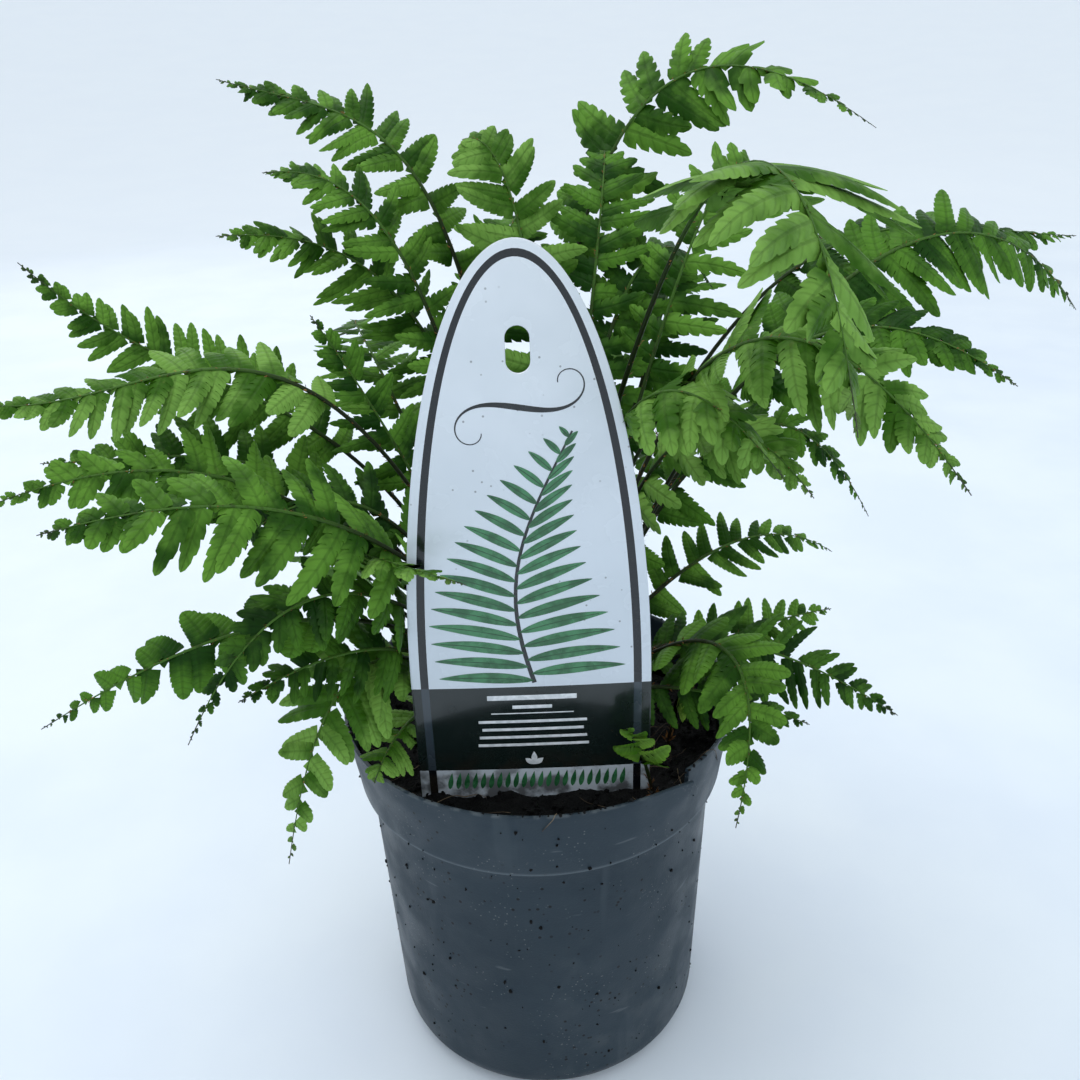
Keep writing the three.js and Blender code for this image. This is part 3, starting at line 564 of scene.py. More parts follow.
# Each frond's course in millimetres and degrees: the compass heading of its tip, how far the
# tip reaches out, how high it ends above the crown, the height and the earliness of its arch,
# its sideways bow, the roll of its blade, its longest leaflets, the bare share of its length
# and how far from the middle it stands. Then its pairs of leaflets, how deep these are lobed,
# how pointed they are and how much they hang, and its green.
COURSE = ("heading", "reach", "rise", "arch", "early", "bow", "roll", "leaf", "bare", "ring",
          "pairs", "lobing", "point", "hang", "green")
FRONDS = [
    (108, 56, 179, 34, -0.5, -13, 0, 20, 0.36, 2, 11, 0.2, 0.26, 0.15, 2),
    (26, 126, 178, 84, 0, 54, 42, 19, 0.34, 5, 12, 0.43, 0.38, 0.15, 0),
    (143, 121, 198, 74, 0.5, -26, -25, 15, 0.34, 6, 14, 0.28, 0.45, 0.15, 0),
    (302, 124, 136, 104, 0, 11, -8, 30, 0.49, 4, 10, 0.26, 0.38, 0.15, 2),
    (30, 87, 166, 33, -1, -5, 20, 19, 0.45, 3, 11, 0.43, 0.3, 0.15, 0),
    (159, 101, 155, 49, 0.25, -29, -30, 18, 0.34, 7, 14, 0.35, 0.52, 0.15, 0),
    (168, 65, 135, 10, 0, 0, -45, 15, 0.35, 4, 9, 0.35, 0.52, 0.15, 1),
    (10, 178, 124, 78, 0, -11, 40, 17, 0.38, 6, 16, 0.22, 0.11, 0.25, 1),
    (16, 189, 143, 78, 0.5, 5, 20, 14, 0.42, 9, 15, 0.22, 0.11, 0.3, 1),
    (176, 145, 154, 30, 1.25, -11, -50, 17, 0.38, 9, 16, 0.22, 0.22, 0.15, 0),
    (347, 135, 120, 68, 0.25, 3, 35, 14, 0.34, 8, 13, 0.22, 0.15, 0.15, 1),
    (324, 128, 109, 84, 0.25, 0, 30, 17, 0.34, 7, 12, 0.25, 0.41, 0.2, 2),
    (187, 156, 122, 71, 0.75, -4, -35, 15, 0.34, 8, 14, 0.25, 0.26, 0.2, 2),
    (180, 148, 96, 45, 0.5, 0, -50, 14, 0.32, 9, 12, 0.28, 0.3, 0.15, 0),
    (209, 137, 103, 43, 0.25, 12, -45, 19, 0.28, 6, 12, 0.3, 0.22, 0.25, 0),
    (321, 84, 105, 70, 0.25, -8, 15, 15, 0.36, 9, 9, 0.4, 0.3, 0.4, 2),
    (4, 109, 65, 52, -0.25, 8, 40, 14, 0.22, 9, 12, 0.33, 0.45, 0.15, 1),
    (28, 130, 25, 19, -0.5, 5, 35, 13, 0.18, 10, 11, 0.2, 0.3, 0.15, 0),
    (354, 120, 1, 22, 0.25, 5, 40, 16, 0.26, 10, 12, 0.28, 0.26, 0.15, 3),
    (14, 109, 20, 6, -0.5, -6, 40, 13, 0.24, 12, 9, 0.22, 0.3, 0.15, 0),
    (341, 90, 11, 13, 0.25, -3, 30, 12, 0.2, 11, 9, 0.33, 0.3, 0.15, 3),
    (303, 96, 16, 28, 0.25, 29, 20, 15, 0.22, 13, 8, 0.25, 0.15, 0.15, 0),
    (203, 149, 40, 46, 0.25, 16, -45, 10, 0.42, 9, 9, 0.2, 0.05, 0.15, 1),
    (220, 118, 46, 43, -0.25, 1, -35, 13, 0.24, 8, 12, 0.4, 0.3, 0.15, 3),
    (215, 100, 46, 24, 0.25, 2, -40, 13, 0.26, 12, 10, 0.45, 0.38, 0.15, 3),
    (220, 97, -8, 40, -0.5, -6, -30, 19, 0.34, 12, 9, 0.18, 0.04, 0.1, 2),
    (230, 74, 16, 8, 0.5, -9, -20, 12, 0.4, 13, 7, 0.3, 0.15, 0.15, 2),
    (89, 100, 148, 44, 0, 7, 0, 18, 0.3, 11, 13, 0.38, 0.38, 0.15, 1),
    (62, 120, 110, 60, 0, -14, 0, 18, 0.28, 8, 13, 0.38, 0.38, 0.15, 1),
    (122, 125, 110, 46, 0.25, 12, 0, 18, 0.3, 10, 13, 0.38, 0.38, 0.15, 0),
    (104, 130, 45, 45, 0, 0, 0, 17, 0.22, 11, 14, 0.33, 0.3, 0.15, 3),
    (69, 80, 172, 44, 0, -6, 5, 18, 0.3, 7, 13, 0.38, 0.3, 0.15, 1),
    (252, 56, 78, 26, 0.25, -48, -10, 16, 0.4, 10, 11, 0.3, 0.1, 0.15, 2),
    (48, 112, 45, 42, 0, 6, 12, 15, 0.2, 11, 12, 0.33, 0.3, 0.15, 1),
    (194, 152, 98, 46, 0.25, 1, -45, 14, 0.24, 11, 12, 0.38, 0.38, 0.15, 0),
    (190, 92, 72, 50, 0.25, 8, -40, 16, 0.2, 10, 11, 0.38, 0.3, 0.15, 3),
    (43, 88, 128, 64, 0, 4, 25, 17, 0.24, 8, 12, 0.38, 0.3, 0.15, 1),
    (335, 86, 92, 58, 0.25, 4, 30, 16, 0.2, 9, 11, 0.45, 0.3, 0.15, 2),
    (150, 92, 172, 60, 0.25, -12, -20, 15, 0.3, 6, 13, 0.38, 0.52, 0.15, 0),
]


def stand_apart(plants):
    """Stipes stand round the crown on the side that they first lean to, and push each other
    apart as they grow, until no two are closer than the spacing."""
    for plant in plants:
        lean = math.radians(plant["heading"]) + math.atan2(4 * plant["bow"], plant["reach"])
        aside = np.array([math.cos(lean), math.sin(lean)])
        plant["stand"] = np.array([0, CROWN_BACK]) + plant["ring"] * aside
    for _ in range(STAND_ROUNDS):
        for index, plant in enumerate(plants):
            for other in plants[index + 1:]:
                apart = other["stand"] - plant["stand"]
                gap = math.hypot(*apart)
                if gap < STAND_SPACING:
                    shove = apart / gap * (STAND_SPACING - gap) / 2
                    other["stand"] = other["stand"] + shove
                    plant["stand"] = plant["stand"] - shove


def midline(plant, share):
    """A straight run from stand to tip, lifted by an arch of 4s(1 - s), or 6.75s(1 - s)^2 where
    it comes early, and pushed sideways by a bow of 4s(1 - s). The share s is 1 at the tip."""
    heading = math.radians(plant["heading"])
    even = 4 * share * (1 - share)
    soon = 6.75 * share * (1 - share) ** 2
    lift = plant["arch"] * ((1 - plant["early"]) * even + plant["early"] * soon)
    ahead = np.array([math.cos(heading), math.sin(heading)])
    tip = plant["centre"] + plant["reach"] * ahead
    flat = plant["stand"] * (1 - share)[:, None] + tip * share[:, None]
    flat = flat + np.array([-ahead[1], ahead[0]]) * (plant["bow"] * even)[:, None]
    return MM * np.column_stack([flat, plant["crown"] + share * plant["rise"] + lift])


def course_at(plant, share):
    """Place, direction, right and upper side of the blade at each share of the midline."""
    ahead = midline(plant, np.minimum(share + 0.004, 1))
    along = unit(ahead - midline(plant, np.maximum(share - 0.004, 0)))
    heading = math.radians(plant["heading"])
    level = np.array([math.sin(heading), -math.cos(heading), 0])
    right = unit(level - along * (along @ level)[:, None])
    ease = np.clip((share - 0.1) / (plant["bare"] + 0.05), 0, 1)
    turn = (math.radians(plant["roll"]) * ease * ease * (3 - 2 * ease))[:, None]
    right = right * np.cos(turn) + np.cross(along, right) * np.sin(turn)
    return midline(plant, share), along, right, np.cross(right, along)


def rib_size(plant, share):
    """Half width and half depth of the rib, which tapers from the stalk to a thread."""
    thin = 0.88 * (1 - share) ** 1.2 + 0.12
    return (MM * STIPE_HALF_WIDTH * plant["stout"] * thin,
            MM * STIPE_HALF_DEPTH * plant["stout"] * thin)


def rib_skin(plant):
    """The stalk and rib: a straight peg in the crown, then a grooved tube along the course."""
    share = np.linspace(0, 1, 46)
    place, _, right, above = course_at(plant, share)
    peg = np.array([plant["peg"], plant["crown"] - 4]) * MM
    stand = np.column_stack([np.full(2, place[0, 0]), np.full(2, place[0, 1]), peg])
    flat_right = unit(right[:1] * [1, 1, 0])
    place = np.concatenate([stand, place])[None]
    right = np.concatenate([flat_right, flat_right, right])[None]
    flat_above = np.cross(flat_right, [0, 0, 1.0])
    above = np.concatenate([flat_above, flat_above, above])[None]
    share = np.concatenate([[0, 0], share])
    half_width, half_depth = rib_size(plant, share)
    rings, faces = swept(place, right, above, half_width[None], half_depth[None], 10, 0.2)
    marks = np.zeros(rings.shape)
    marks[..., 0] = share[None, :, None]
    marks[..., 1] = 1
    return rings, faces, marks


# Pairs stand closer together toward the tip. The place of a pair grows with this power of its
# number, and there are as many times more pairs, so the gaps at the foot of the blade stay.
CROWDING = 1.6


def leaflet_length(rank):
    """Share of the longest leaflet's length: full from the foot of the blade to its middle, then
    straight down, with a slight bulge, to the small teeth of the tip."""
    foot = np.minimum(1, (rank + 0.12) / 0.3) ** 0.4
    taper = np.clip((1 - rank) / 0.52, 0, 1)
    return foot * taper * (1.22 - 0.22 * taper) + 0.03


# Round a leaflet's section: the place across it, and how much it belongs to the upper side.
SECTION = np.array([-1, -0.5, 0, 0.5, 1, 0])
SECTION_TOP = np.array([0.4, 1, 1, 1, 0.4, 0])
# Along each tooth: notch, shoulder and crest, with the depth of the cut and the lean forward.
TOOTH_STEPS = np.array([0, 0.4, 0.82])
TOOTH_CUT = np.array([1, 0.16, 0])
TOOTH_AHEAD = np.array([0, 0.3, 1])


def leaflet_skins(plant, draw, first, last, teeth):
    """The pairs of leaflets from first to last. Along a leaflet a runs from 0 to 1 and b from
    -1 to 1 across it. Its middle leans forward and hangs with the square of a; its width is
    rounded or pointed and narrows at each notch between teeth; the margins curl down with the
    square of b; the section is a shallow roof over a keel."""
    pair = np.repeat(np.arange(first, last), 2)
    side = np.tile([-1.0, 1.0], last - first)
    stretch = (1 - plant["bare"]) * 0.99
    even = (pair + 0.45 + 0.18 * side * np.where(pair % 2, 1, -1)) / plant["pairs"]
    rank = 1 - (1 - even) ** CROWDING
    share = plant["bare"] + stretch * rank
    place, along, right, above = (vectors[:, None, None] for vectors in course_at(plant, share))
    spacing = CROWDING * (1 - even) ** (CROWDING - 1) * stretch / plant["pairs"] * plant["run"]
    half_rib = rib_size(plant, share)[0]

    def chance(spread):
        return draw.normal(0, spread, len(pair))[:, None, None, None]

    length = MM * plant["leaf"] * leaflet_length(rank) * draw.uniform(0.94, 1.20, len(pair))
    fused = np.clip((rank - 0.6) / 0.34, 0, 1)
    fill = plant["fill"] + (1.12 - plant["fill"]) * fused * fused * (3 - 2 * fused)
    full_width = np.minimum(fill * spacing, 0.9 * length)[:, None, None]
    length = length[:, None, None, None]
    handed = side[:, None, None, None]
    lean = np.radians(80 - 24 * rank)[:, None, None, None] + chance(0.09)
    tilt = math.radians(-4) + chance(0.15)
    level = handed * right * np.sin(lean) + along * np.cos(lean)
    out = level * np.cos(tilt) + above * np.sin(tilt)
    across = unit(along - level * np.sum(along * level, -1, keepdims=True))
    up = handed * np.cross(out, across)

    a = np.append((np.arange(teeth)[:, None] + TOOTH_STEPS).ravel() / teeth, 1)
    cut = np.append(np.tile(TOOTH_CUT, teeth), 0.2)[None, :, None]
    ahead = (np.append(np.tile(TOOTH_AHEAD, teeth), 0) * (1 - a))[None, :, None]
    stations = len(a)
    a = a[None, :, None]
    b = SECTION[None, None, :] * side[:, None, None]
    rounded = np.clip(1 - a ** 3.6, 0, 1) ** 0.55
    pointed = np.clip(1 - a ** 1.25, 0, 1) ** 0.85
    width = (1 - plant["point"]) * rounded + plant["point"] * pointed
    notch = 1 - plant["lobing"] * cut * (1 - 0.45 * a)
    flare = 1 + 0.30 * np.exp(-a / 0.05)
    width = np.maximum(width * notch * flare, 0.05) * 0.5 * full_width
    forward = a + plant["hook"] * ahead * b * b * full_width / length[..., 0] * 0.2
    twist = chance(0.30) * a[..., None]
    curve = 0.12 + chance(0.06)
    hang = plant["hang"] + chance(0.08)
    ripple = chance(0.12) * np.sin(5 * a + 2)[..., None] * (b ** 2)[..., None]
    turned_across = across * np.cos(twist) + up * np.sin(twist)
    turned_up = up * np.cos(twist) - across * np.sin(twist)
    roof = np.where(SECTION_TOP > 0.9, 0.11 - 0.08 * (SECTION == 0), 0.0)
    roof = np.where(SECTION_TOP == 0, -0.18, roof)[None, None] * MM * (1 - 0.5 * a)
    lift = roof - 0.34 * b ** 2 * width
    down = unit(above + [0, 0, 1.0])
    middle = (place + handed * right * 0.5 * half_rib[:, None, None, None]
              + out * length * forward[..., None]
              + across * length * curve * (a ** 2)[..., None]
              - down * length * hang * (a ** 2)[..., None])
    points = (middle + turned_across * (b * width)[..., None]
              + turned_up * (lift[..., None] + ripple * width[..., None]))
    points = keep_clear(points, place)

    faces = [part[:, ::-1] for part in tube_faces(len(pair), stations, len(SECTION))]
    luck = draw.uniform(0, 1, len(pair))[:, None, None]
    blade = np.stack(np.broadcast_arrays(a * teeth, b, luck), -1)
    stand = np.stack(np.broadcast_arrays(share[:, None, None], SECTION_TOP[None, None], a), -1)
    return points, faces, blade, stand


# The label's place and outline, which the leaflets near it have to mind.
LABEL_PLANE = -0.035
LABEL_CENTRE = -0.0015
LABEL_TOP = 0.286
LABEL_HALF_WIDTH = 0.036
LABEL_SHOULDER = 0.150


def keep_clear(points, roots):
    """Points that fall on the label move to the side that their leaflet's root is on. Those over
    the pot rise above its rim, and those beside it, of leaflets rooted outside, move outwards."""
    x, y, z = np.moveaxis(points, -1, 0)
    head = np.clip((z - LABEL_SHOULDER) / (LABEL_TOP - LABEL_SHOULDER), 0, 1)
    beside = LABEL_HALF_WIDTH * np.sqrt(1 - head ** 2) + 0.0012
    inside = (np.abs(x - LABEL_CENTRE) < beside) & (z < LABEL_TOP)
    front = np.where(roots[..., 1] < LABEL_PLANE, -1, 1)
    away = np.maximum((y - LABEL_PLANE) * front, 0.0014)
    y = np.where(inside, LABEL_PLANE + front * away, y)
    radius = np.maximum(np.hypot(x, y), 1e-6)
    outside = (np.hypot(roots[..., 0], roots[..., 1]) > 0.064) & (radius > 0.058)
    z = np.where(~outside & (radius < 0.0665), np.maximum(z, POT_HEIGHT + 0.0012), z)
    push = np.where(outside & (z < POT_HEIGHT + 0.001), np.maximum(1, 0.0662 / radius), 1)
    return np.stack([x * push, y * push, z], -1)


def scale_bodies(roots, reach, across, ridge, length, width):
    """Papery scales: a foot, two shoulders at a third of the length, a tip and a low ridge."""
    length, width = length[:, None], width[:, None]
    shoulder = roots + 0.35 * length * reach
    points = np.stack([roots, shoulder - 0.5 * width * across, shoulder + 0.5 * width * across,
                       roots + length * reach, shoulder + 0.12 * width * ridge], 1)
    count = len(roots)
    faces = np.array([[0, 2, 4], [2, 3, 4], [3, 1, 4], [1, 0, 4]])
    return points, [repeated(faces, count, 5), repeated(np.array([[0, 1, 3, 2]]), count, 5)]


def stipe_scales(plant, draw):
    """Scales crowd the foot of the stipe and thin out along the rib; each leans up and out."""
    count = plant["scales"]
    share = np.clip(0.95 * draw.uniform(0, 1, count) ** 2.2, 0.004, 1)
    place, along, right, above = course_at(plant, share)
    half_width, half_depth = rib_size(plant, share)
    turn = draw.uniform(0, 2 * np.pi, count)[:, None]
    normal = right * np.cos(turn) + above * np.sin(turn)
    across = right * -np.sin(turn) + above * np.cos(turn)
    roots = place + 0.9 * (right * np.cos(turn) * half_width[:, None]
                           + above * np.sin(turn) * half_depth[:, None])
    lean = draw.uniform(0.35, 1.0, count)[:, None]
    stray = 0.3 * across * draw.normal(0, 1, (count, 1))
    reach = unit(along * np.cos(lean) + normal * np.sin(lean) + stray)
    near = np.exp(-share / 0.22)
    length = MM * (0.9 + 2.6 * near) * draw.uniform(0.6, 1.2, count)
    width = length * draw.uniform(0.2, 0.36, count)
    across = unit(np.cross(normal, reach))
    points, faces = scale_bodies(roots, reach, across, np.cross(reach, across), length, width)
    return points, faces, share


# Each green: its name, and its deep and its fresh colour.
# The dark green is partly the fronds' own tone and partly painted shade, and the shade green is
# painted shade, both for fronds that lie in shade. The bright green is partly own tone and partly
# painted light, for lit fronds.
GREENS = (
    ("leaf_green", (34, 76, 6), (102, 152, 52)),
    ("leaf_dark_green", (24, 66, 5), (88, 138, 42)),
    ("leaf_bright_green", (54, 100, 14), (126, 172, 76)),
    ("leaf_shade_green", (16, 54, 3), (72, 118, 34)),
    ("young_green", (64, 112, 18), (134, 178, 70)),
)


def leaf_finish(name, deep, fresh):
    """Green that shifts from leaflet to leaflet and in soft clouds, with a darker midrib, faint
    side veins that run to the teeth, a paler underside, and light that comes through."""
    leaf = Finish(name, Specular_IOR_Level=0.14)
    phase, across, luck = leaf.parts(leaf.attribute("blade"))
    share, top, out = leaf.parts(leaf.attribute("frond"))
    clouds = leaf.cloud(90, 4, 0.3, 0.7)
    tone = leaf.maths("ADD", leaf.times(luck, 0.5), leaf.times(clouds, 0.5))
    tone = leaf.maths("ADD", leaf.times(tone, 0.75), leaf.times(out, 0.25))
    leaf.ground(leaf.ease(tone, 0.22, 0.72), deep, fresh)
    beside = leaf.maths("ABSOLUTE", across)
    vein_phase = leaf.maths("SUBTRACT", phase, leaf.times(beside, 0.55))
    saw = leaf.maths("PINGPONG", vein_phase, 0.5)
    vein = leaf.times(leaf.ease(saw, 0.0, 0.2, 1, 0), leaf.ease(beside, 0.7, 1, 1, 0))
    leaf.lay(leaf.times(vein, 0.25), [c * 0.7 for c in deep])
    midrib = leaf.ease(beside, 0.04, 0.18, 1, 0)
    leaf.lay(leaf.times(midrib, 0.25), [c * 0.6 for c in deep])
    spots = leaf.cloud(420, 3, 0.68, 0.76, 0, 0.3)
    leaf.lay(spots, (112, 126, 62))
    under = leaf.ease(top, 0.1, 0.35, 0.4, 0)
    leaf.lay(under, (84, 118, 56))
    # Painted sheen: the last few hundredths of each frond turn grey.
    painted_tip_sheen = leaf.ease(share, 0.95, 0.995, 0, 0.6)
    leaf.lay(painted_tip_sheen, (66, 70, 56))
    quilt = leaf.maths("ADD", leaf.times(saw, 1.4), leaf.times(leaf.noise(900, 3), 0.5))
    leaf.bump(leaf.maths("SUBTRACT", quilt, leaf.times(midrib, 0.8)), 0.5, 0.0004)
    leaf.show(leaf.cloud(160, 3, 0.3, 0.7, 0.42, 0.62))
    through = leaf.add("BsdfTranslucent", {"Color": leaf.mix(0.5, leaf.colour, tint(110, 160, 20))})
    both = leaf.add("MixShader", {0: 0.2, 1: leaf.shader.outputs[0], 2: through.outputs[0]})
    leaf.wire(both.outputs[0], leaf.tree.nodes["Material Output"].inputs["Surface"])
    return leaf.material


def stalk_finish():
    """Stalks are brown-black at the foot and turn dull green, then leaf green, along the rib."""
    stalk = Finish("stalk_skin", Specular_IOR_Level=0.15)
    share = stalk.parts(stalk.attribute("frond"))[0]
    stalk.ground(stalk.ease(share, 0.02, 0.3), (34, 26, 18), (26, 38, 12))
    stalk.lay(stalk.ease(share, 0.36, 0.62), (64, 100, 34))
    # Painted sheen: the rib turns grey toward the frond's tip.
    stalk.lay(stalk.ease(share, 0.93, 0.99), (62, 64, 54))
    flecks = stalk.ease(stalk.noise(700, 3, stalk.stretched((1, 1, 0.3))), 0.5, 0.7, 0, 0.5)
    stalk.lay(flecks, (30, 24, 16))
    stalk.bump(stalk.noise(900, 3, stalk.stretched((1, 1, 0.25))), 0.4, 0.0003)
    return stalk.show(stalk.cloud(300, 2, 0.3, 0.7, 0.35, 0.6))


def scale_finish():
    """Scales are thin and golden brown, darker and paler in fine clouds."""
    scale = Finish("golden_scales", Specular_IOR_Level=0.3)
    scale.ground(scale.cloud(500, 3, 0.3, 0.7), (70, 42, 22), (158, 112, 58))
    scale.bump(scale.noise(2500, 2), 0.3, 0.0002)
    return scale.show(scale.cloud(200, 2, 0.3, 0.7, 0.5, 0.75))


leaf_finishes = [leaf_finish(*green) for green in GREENS]
stalk_material = stalk_finish()
scale_material = scale_finish()


def grow(name, node, plant, seed):
    """One frond as one piece: rib, leaflets with fewer teeth toward the tip, and scales."""
    draw = np.random.default_rng(seed)
    line = midline(plant, np.linspace(0, 1, 60))
    plant["run"] = np.linalg.norm(np.diff(line, axis=0), axis=1).sum()
    frond = Skins()
    rings, faces, marks = rib_skin(plant)
    frond.add(rings, faces, 1, blade=np.zeros(3), frond=marks)
    plant["pairs"] = pairs = round(plant["pairs"] * CROWDING)
    low, high = round(pairs * 0.42), round(pairs * 0.68)
    teeth = plant["teeth"]
    for first, last, cuts in ((0, low, teeth), (low, high, teeth - 3), (high, pairs, 3)):
        points, faces, blade, stand = leaflet_skins(plant, draw, first, last, cuts)
        frond.add(points, faces, 0, blade=blade, frond=stand)
    points, faces, share = stipe_scales(plant, draw)
    stand = np.zeros(points.shape)
    stand[..., 0] = share[:, None]
    frond.add(points, faces, 2, blade=np.zeros(3), frond=stand)
    green = plant["green"]
    piece = frond.piece(name, [leaf_finishes[green], stalk_material, scale_material], 60)
    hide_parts(node)


plants = [dict(zip(COURSE, row)) for row in FRONDS]
stand_apart(plants)
for index, plant in enumerate(plants):
    plant.update(centre=np.zeros(2), crown=CROWN, peg=PEG_FOOT, stout=1.0, scales=150, hook=0.9,
                 fill=0.88 - 0.40 * plant["point"], teeth=round(11 - 13 * plant["lobing"]))
    grow(f"frond_{index + 1:02d}_blade", f"frond_{index + 1:02d}", plant, 400 + index)

# Young fronds
# Two small fronds have come up through the peat beside the crown. They are soft, pale and
# only just unrolled.

# Each one's place on the peat in millimetres, the compass heading of its tip, how far and how
# high that goes, the roll of its blade in degrees and its longest leaflets.
YOUNG = [(35, -41, 200, 9, 28, 55, 8), (43, -14, 330, 6, 22, 30, 7)]
for index, (x, y, heading, reach, rise, roll, leaf) in enumerate(YOUNG):
    place = np.array([x, y], float)
    plant = dict(heading=heading, reach=reach, rise=rise, arch=4, early=0, bow=0, roll=roll,
                 leaf=leaf, bare=0.14, pairs=4, lobing=0.24, point=0.1, hang=0.1, green=4,
                 centre=place, stand=place, crown=117, peg=105, stout=0.7, scales=40, fill=1.1,
                 hook=0.8, teeth=6)
    grow(f"young_frond_{index + 1}_blade", f"young_frond_{index + 1}", plant, 700 + index)

# Rhizome
# A short upright knob of last year's stalk bases, packed round the growing point and covered
# in golden-brown scales. It sits in the peat, and this year's stalks rise out of it.

KNOB_RADIUS = 0.018
KNOB_FOOT = 0.094
KNOB_TOP = 0.119
KNOB_ROWS, KNOB_COLUMNS = 30, 73
STUBS = 46
CHAFF_SCALES = 700


def knob_surface(share, turn):
    """A barrel, r = sin of the share, with a spiral of bulges where old stalks broke off."""
    radius = KNOB_RADIUS * np.minimum(1, 1.18 * np.sin(np.pi * (0.06 + 0.90 * share)) ** 0.6)
    bulge = np.abs(np.sin(4 * turn + 9 * share)) * np.abs(np.sin(14 * share - 1.5 * turn))
    radius = radius * (0.90 + 0.10 * bulge)
    height = KNOB_FOOT + (KNOB_TOP - KNOB_FOOT) * share + 0.0012 * np.sin(5 * turn) * share
    return np.stack([radius * np.cos(turn), CROWN_BACK * MM + radius * np.sin(turn), height], -1)


knob = Skins()
share, turn = np.meshgrid(np.linspace(0, 1, KNOB_ROWS), np.linspace(0, 2 * np.pi, KNOB_COLUMNS),
                          indexing="ij")
body = knob_surface(share, turn)
middle = body[[0, -1]].mean(axis=1, keepdims=True)
body = np.concatenate([np.broadcast_to(middle[:1], body[:1].shape), body,
                       np.broadcast_to(middle[1:], body[:1].shape)])
knob.add(body, grid_faces(KNOB_ROWS + 2, KNOB_COLUMNS))
draw = np.random.default_rng(33)
stub_turn = draw.uniform(0, 2 * np.pi, STUBS)
stub_share = draw.uniform(0.75, 1, STUBS)
stub_foot = knob_surface(stub_share, stub_turn)
outward = np.stack([np.cos(stub_turn), np.sin(stub_turn), 0.9 + 0 * stub_turn], -1)
station = np.linspace(0, 1, 6)[None, :]
reach = draw.uniform(0.003, 0.007, STUBS)[:, None, None]
stub = stub_foot[:, None] + unit(outward)[:, None] * reach * (station[..., None] - 0.3)
across = np.broadcast_to(unit(np.cross(outward, [0, 0, 1.0]))[:, None], stub.shape)
lift = np.cross(across, unit(outward)[:, None])
thick = draw.uniform(0.0009, 0.0016, STUBS)[:, None] * (1 - 0.35 * station)
knob.add(*swept(stub, across, lift, thick, 0.7 * thick, 8))
husk = Finish("rhizome_husk", Specular_IOR_Level=0.3)
husk.ground(husk.cloud(220, 5, 0.35, 0.65), (30, 21, 14), (84, 56, 32))
husk.bump(husk.noise(800, 6), 0.7, 0.0008)
husk.show(husk.cloud(150, 2, 0.3, 0.7, 0.65, 0.9))
rhizome_knob = knob.piece("rhizome_knob", [husk.material], 60)
seal(rhizome_knob)
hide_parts("rhizome")

# Scales cover the knob: half of them stand on its side and half are spread over its top.
chaff = Skins()
turn = draw.uniform(0, 2 * np.pi, CHAFF_SCALES)
share = draw.uniform(0.6, 1.0, CHAFF_SCALES)
at_side = draw.uniform(0, 1, CHAFF_SCALES) < 0.5
spread = np.where(at_side, 1, np.sqrt(draw.uniform(0, 1, CHAFF_SCALES)))
roots = knob_surface(share, turn)
middle = [0, CROWN_BACK * MM]
roots[:, :2] = middle + (roots[:, :2] - middle) * spread[:, None]
roots[:, 2] = np.where(spread < 1, KNOB_TOP, roots[:, 2])
outward = unit(np.stack([np.cos(turn), np.sin(turn), draw.uniform(0.3, 2.5, CHAFF_SCALES)], -1))
across = unit(np.cross(outward, [0, 0, 1.0]))
length = draw.uniform(0.003, 0.0075, CHAFF_SCALES)
ridge = np.cross(outward, across)
chaff.add(*scale_bodies(roots, outward, across, ridge, length, length * 0.26))
crown_scales = chaff.piece("crown_scales", [scale_material], 60)

# Label
# A stick-in label die-cut from glossy white plastic sheet, with a bullet-shaped head, a hang
# slot and a point down in the peat. The print has a dark line round it, a thin scroll and a
# leafy sprig on the white, and a dark band with plain rules below. It holds no words.

LABEL_THICKNESS = 0.0008
LABEL_POINT = 0.076
LABEL_NECK = 0.108
SLOT_CENTRE = 0.258
SLOT_HALF_WIDTH = 0.0032
SLOT_HALF_RUN = 0.00305
LINE_INSET = 0.0028
LINE_WIDTH = 0.0024
BAND_TOP = 0.155
BAND_FOOT = 0.1245
AROUND = 288
HALF_SHEET = LABEL_THICKNESS / 2
FAR_IN = 0.02
SPRIG_LEAVES = 33


def label_outline(inset):
    """The label's edge, drawn in by an inset, at even angles round the hang slot: straight
    sides, half an ellipse for the head and a blunt point below."""
    half = LABEL_HALF_WIDTH - inset
    turn = np.linspace(0, np.pi, 240)
    tall = LABEL_TOP - LABEL_SHOULDER - 0.85 * inset
    head = np.stack([half * np.cos(turn), LABEL_SHOULDER + tall * np.sin(turn)], -1)
    foot = max(0.004 - inset * 0.45, 0.0008)
    side = np.linspace(0, 1, 200)[1:, None]
    left = head[-1] * (1 - side) + side * [-half, LABEL_NECK]
    point_left = np.array([-half, LABEL_NECK]) * (1 - side) + side * [-foot, LABEL_POINT + inset]
    few = side[::20]
    under = (np.array([-foot, LABEL_POINT + inset]) * (1 - few)
             + few * [foot, LABEL_POINT + inset])
    right = (point_left * [-1, 1])[::-1]
    up = (left * [-1, 1])[::-1]
    return np.concatenate([head, left, point_left, under, right, up])


def ray_lengths(edge, angles):
    """How far the edge lies from the slot's centre along each ray."""
    offset = edge - [0, SLOT_CENTRE]
    ray = np.arctan2(offset[:, 1], offset[:, 0]) % (2 * np.pi)
    order = np.argsort(ray)
    return np.interp(angles, ray[order], np.hypot(*offset.T)[order], period=2 * np.pi)


def slot_lengths(aim):
    """How far the slot's edge lies along each ray: where the ray meets a straight side, or else
    the half circle beyond it."""
    beside, above = np.abs(aim).T
    straight = SLOT_HALF_WIDTH / np.maximum(beside, 1e-9)
    curved = SLOT_HALF_RUN * above + np.sqrt(SLOT_HALF_WIDTH ** 2 - (SLOT_HALF_RUN * beside) ** 2)
    return np.where(straight * above <= SLOT_HALF_RUN, straight, curved)


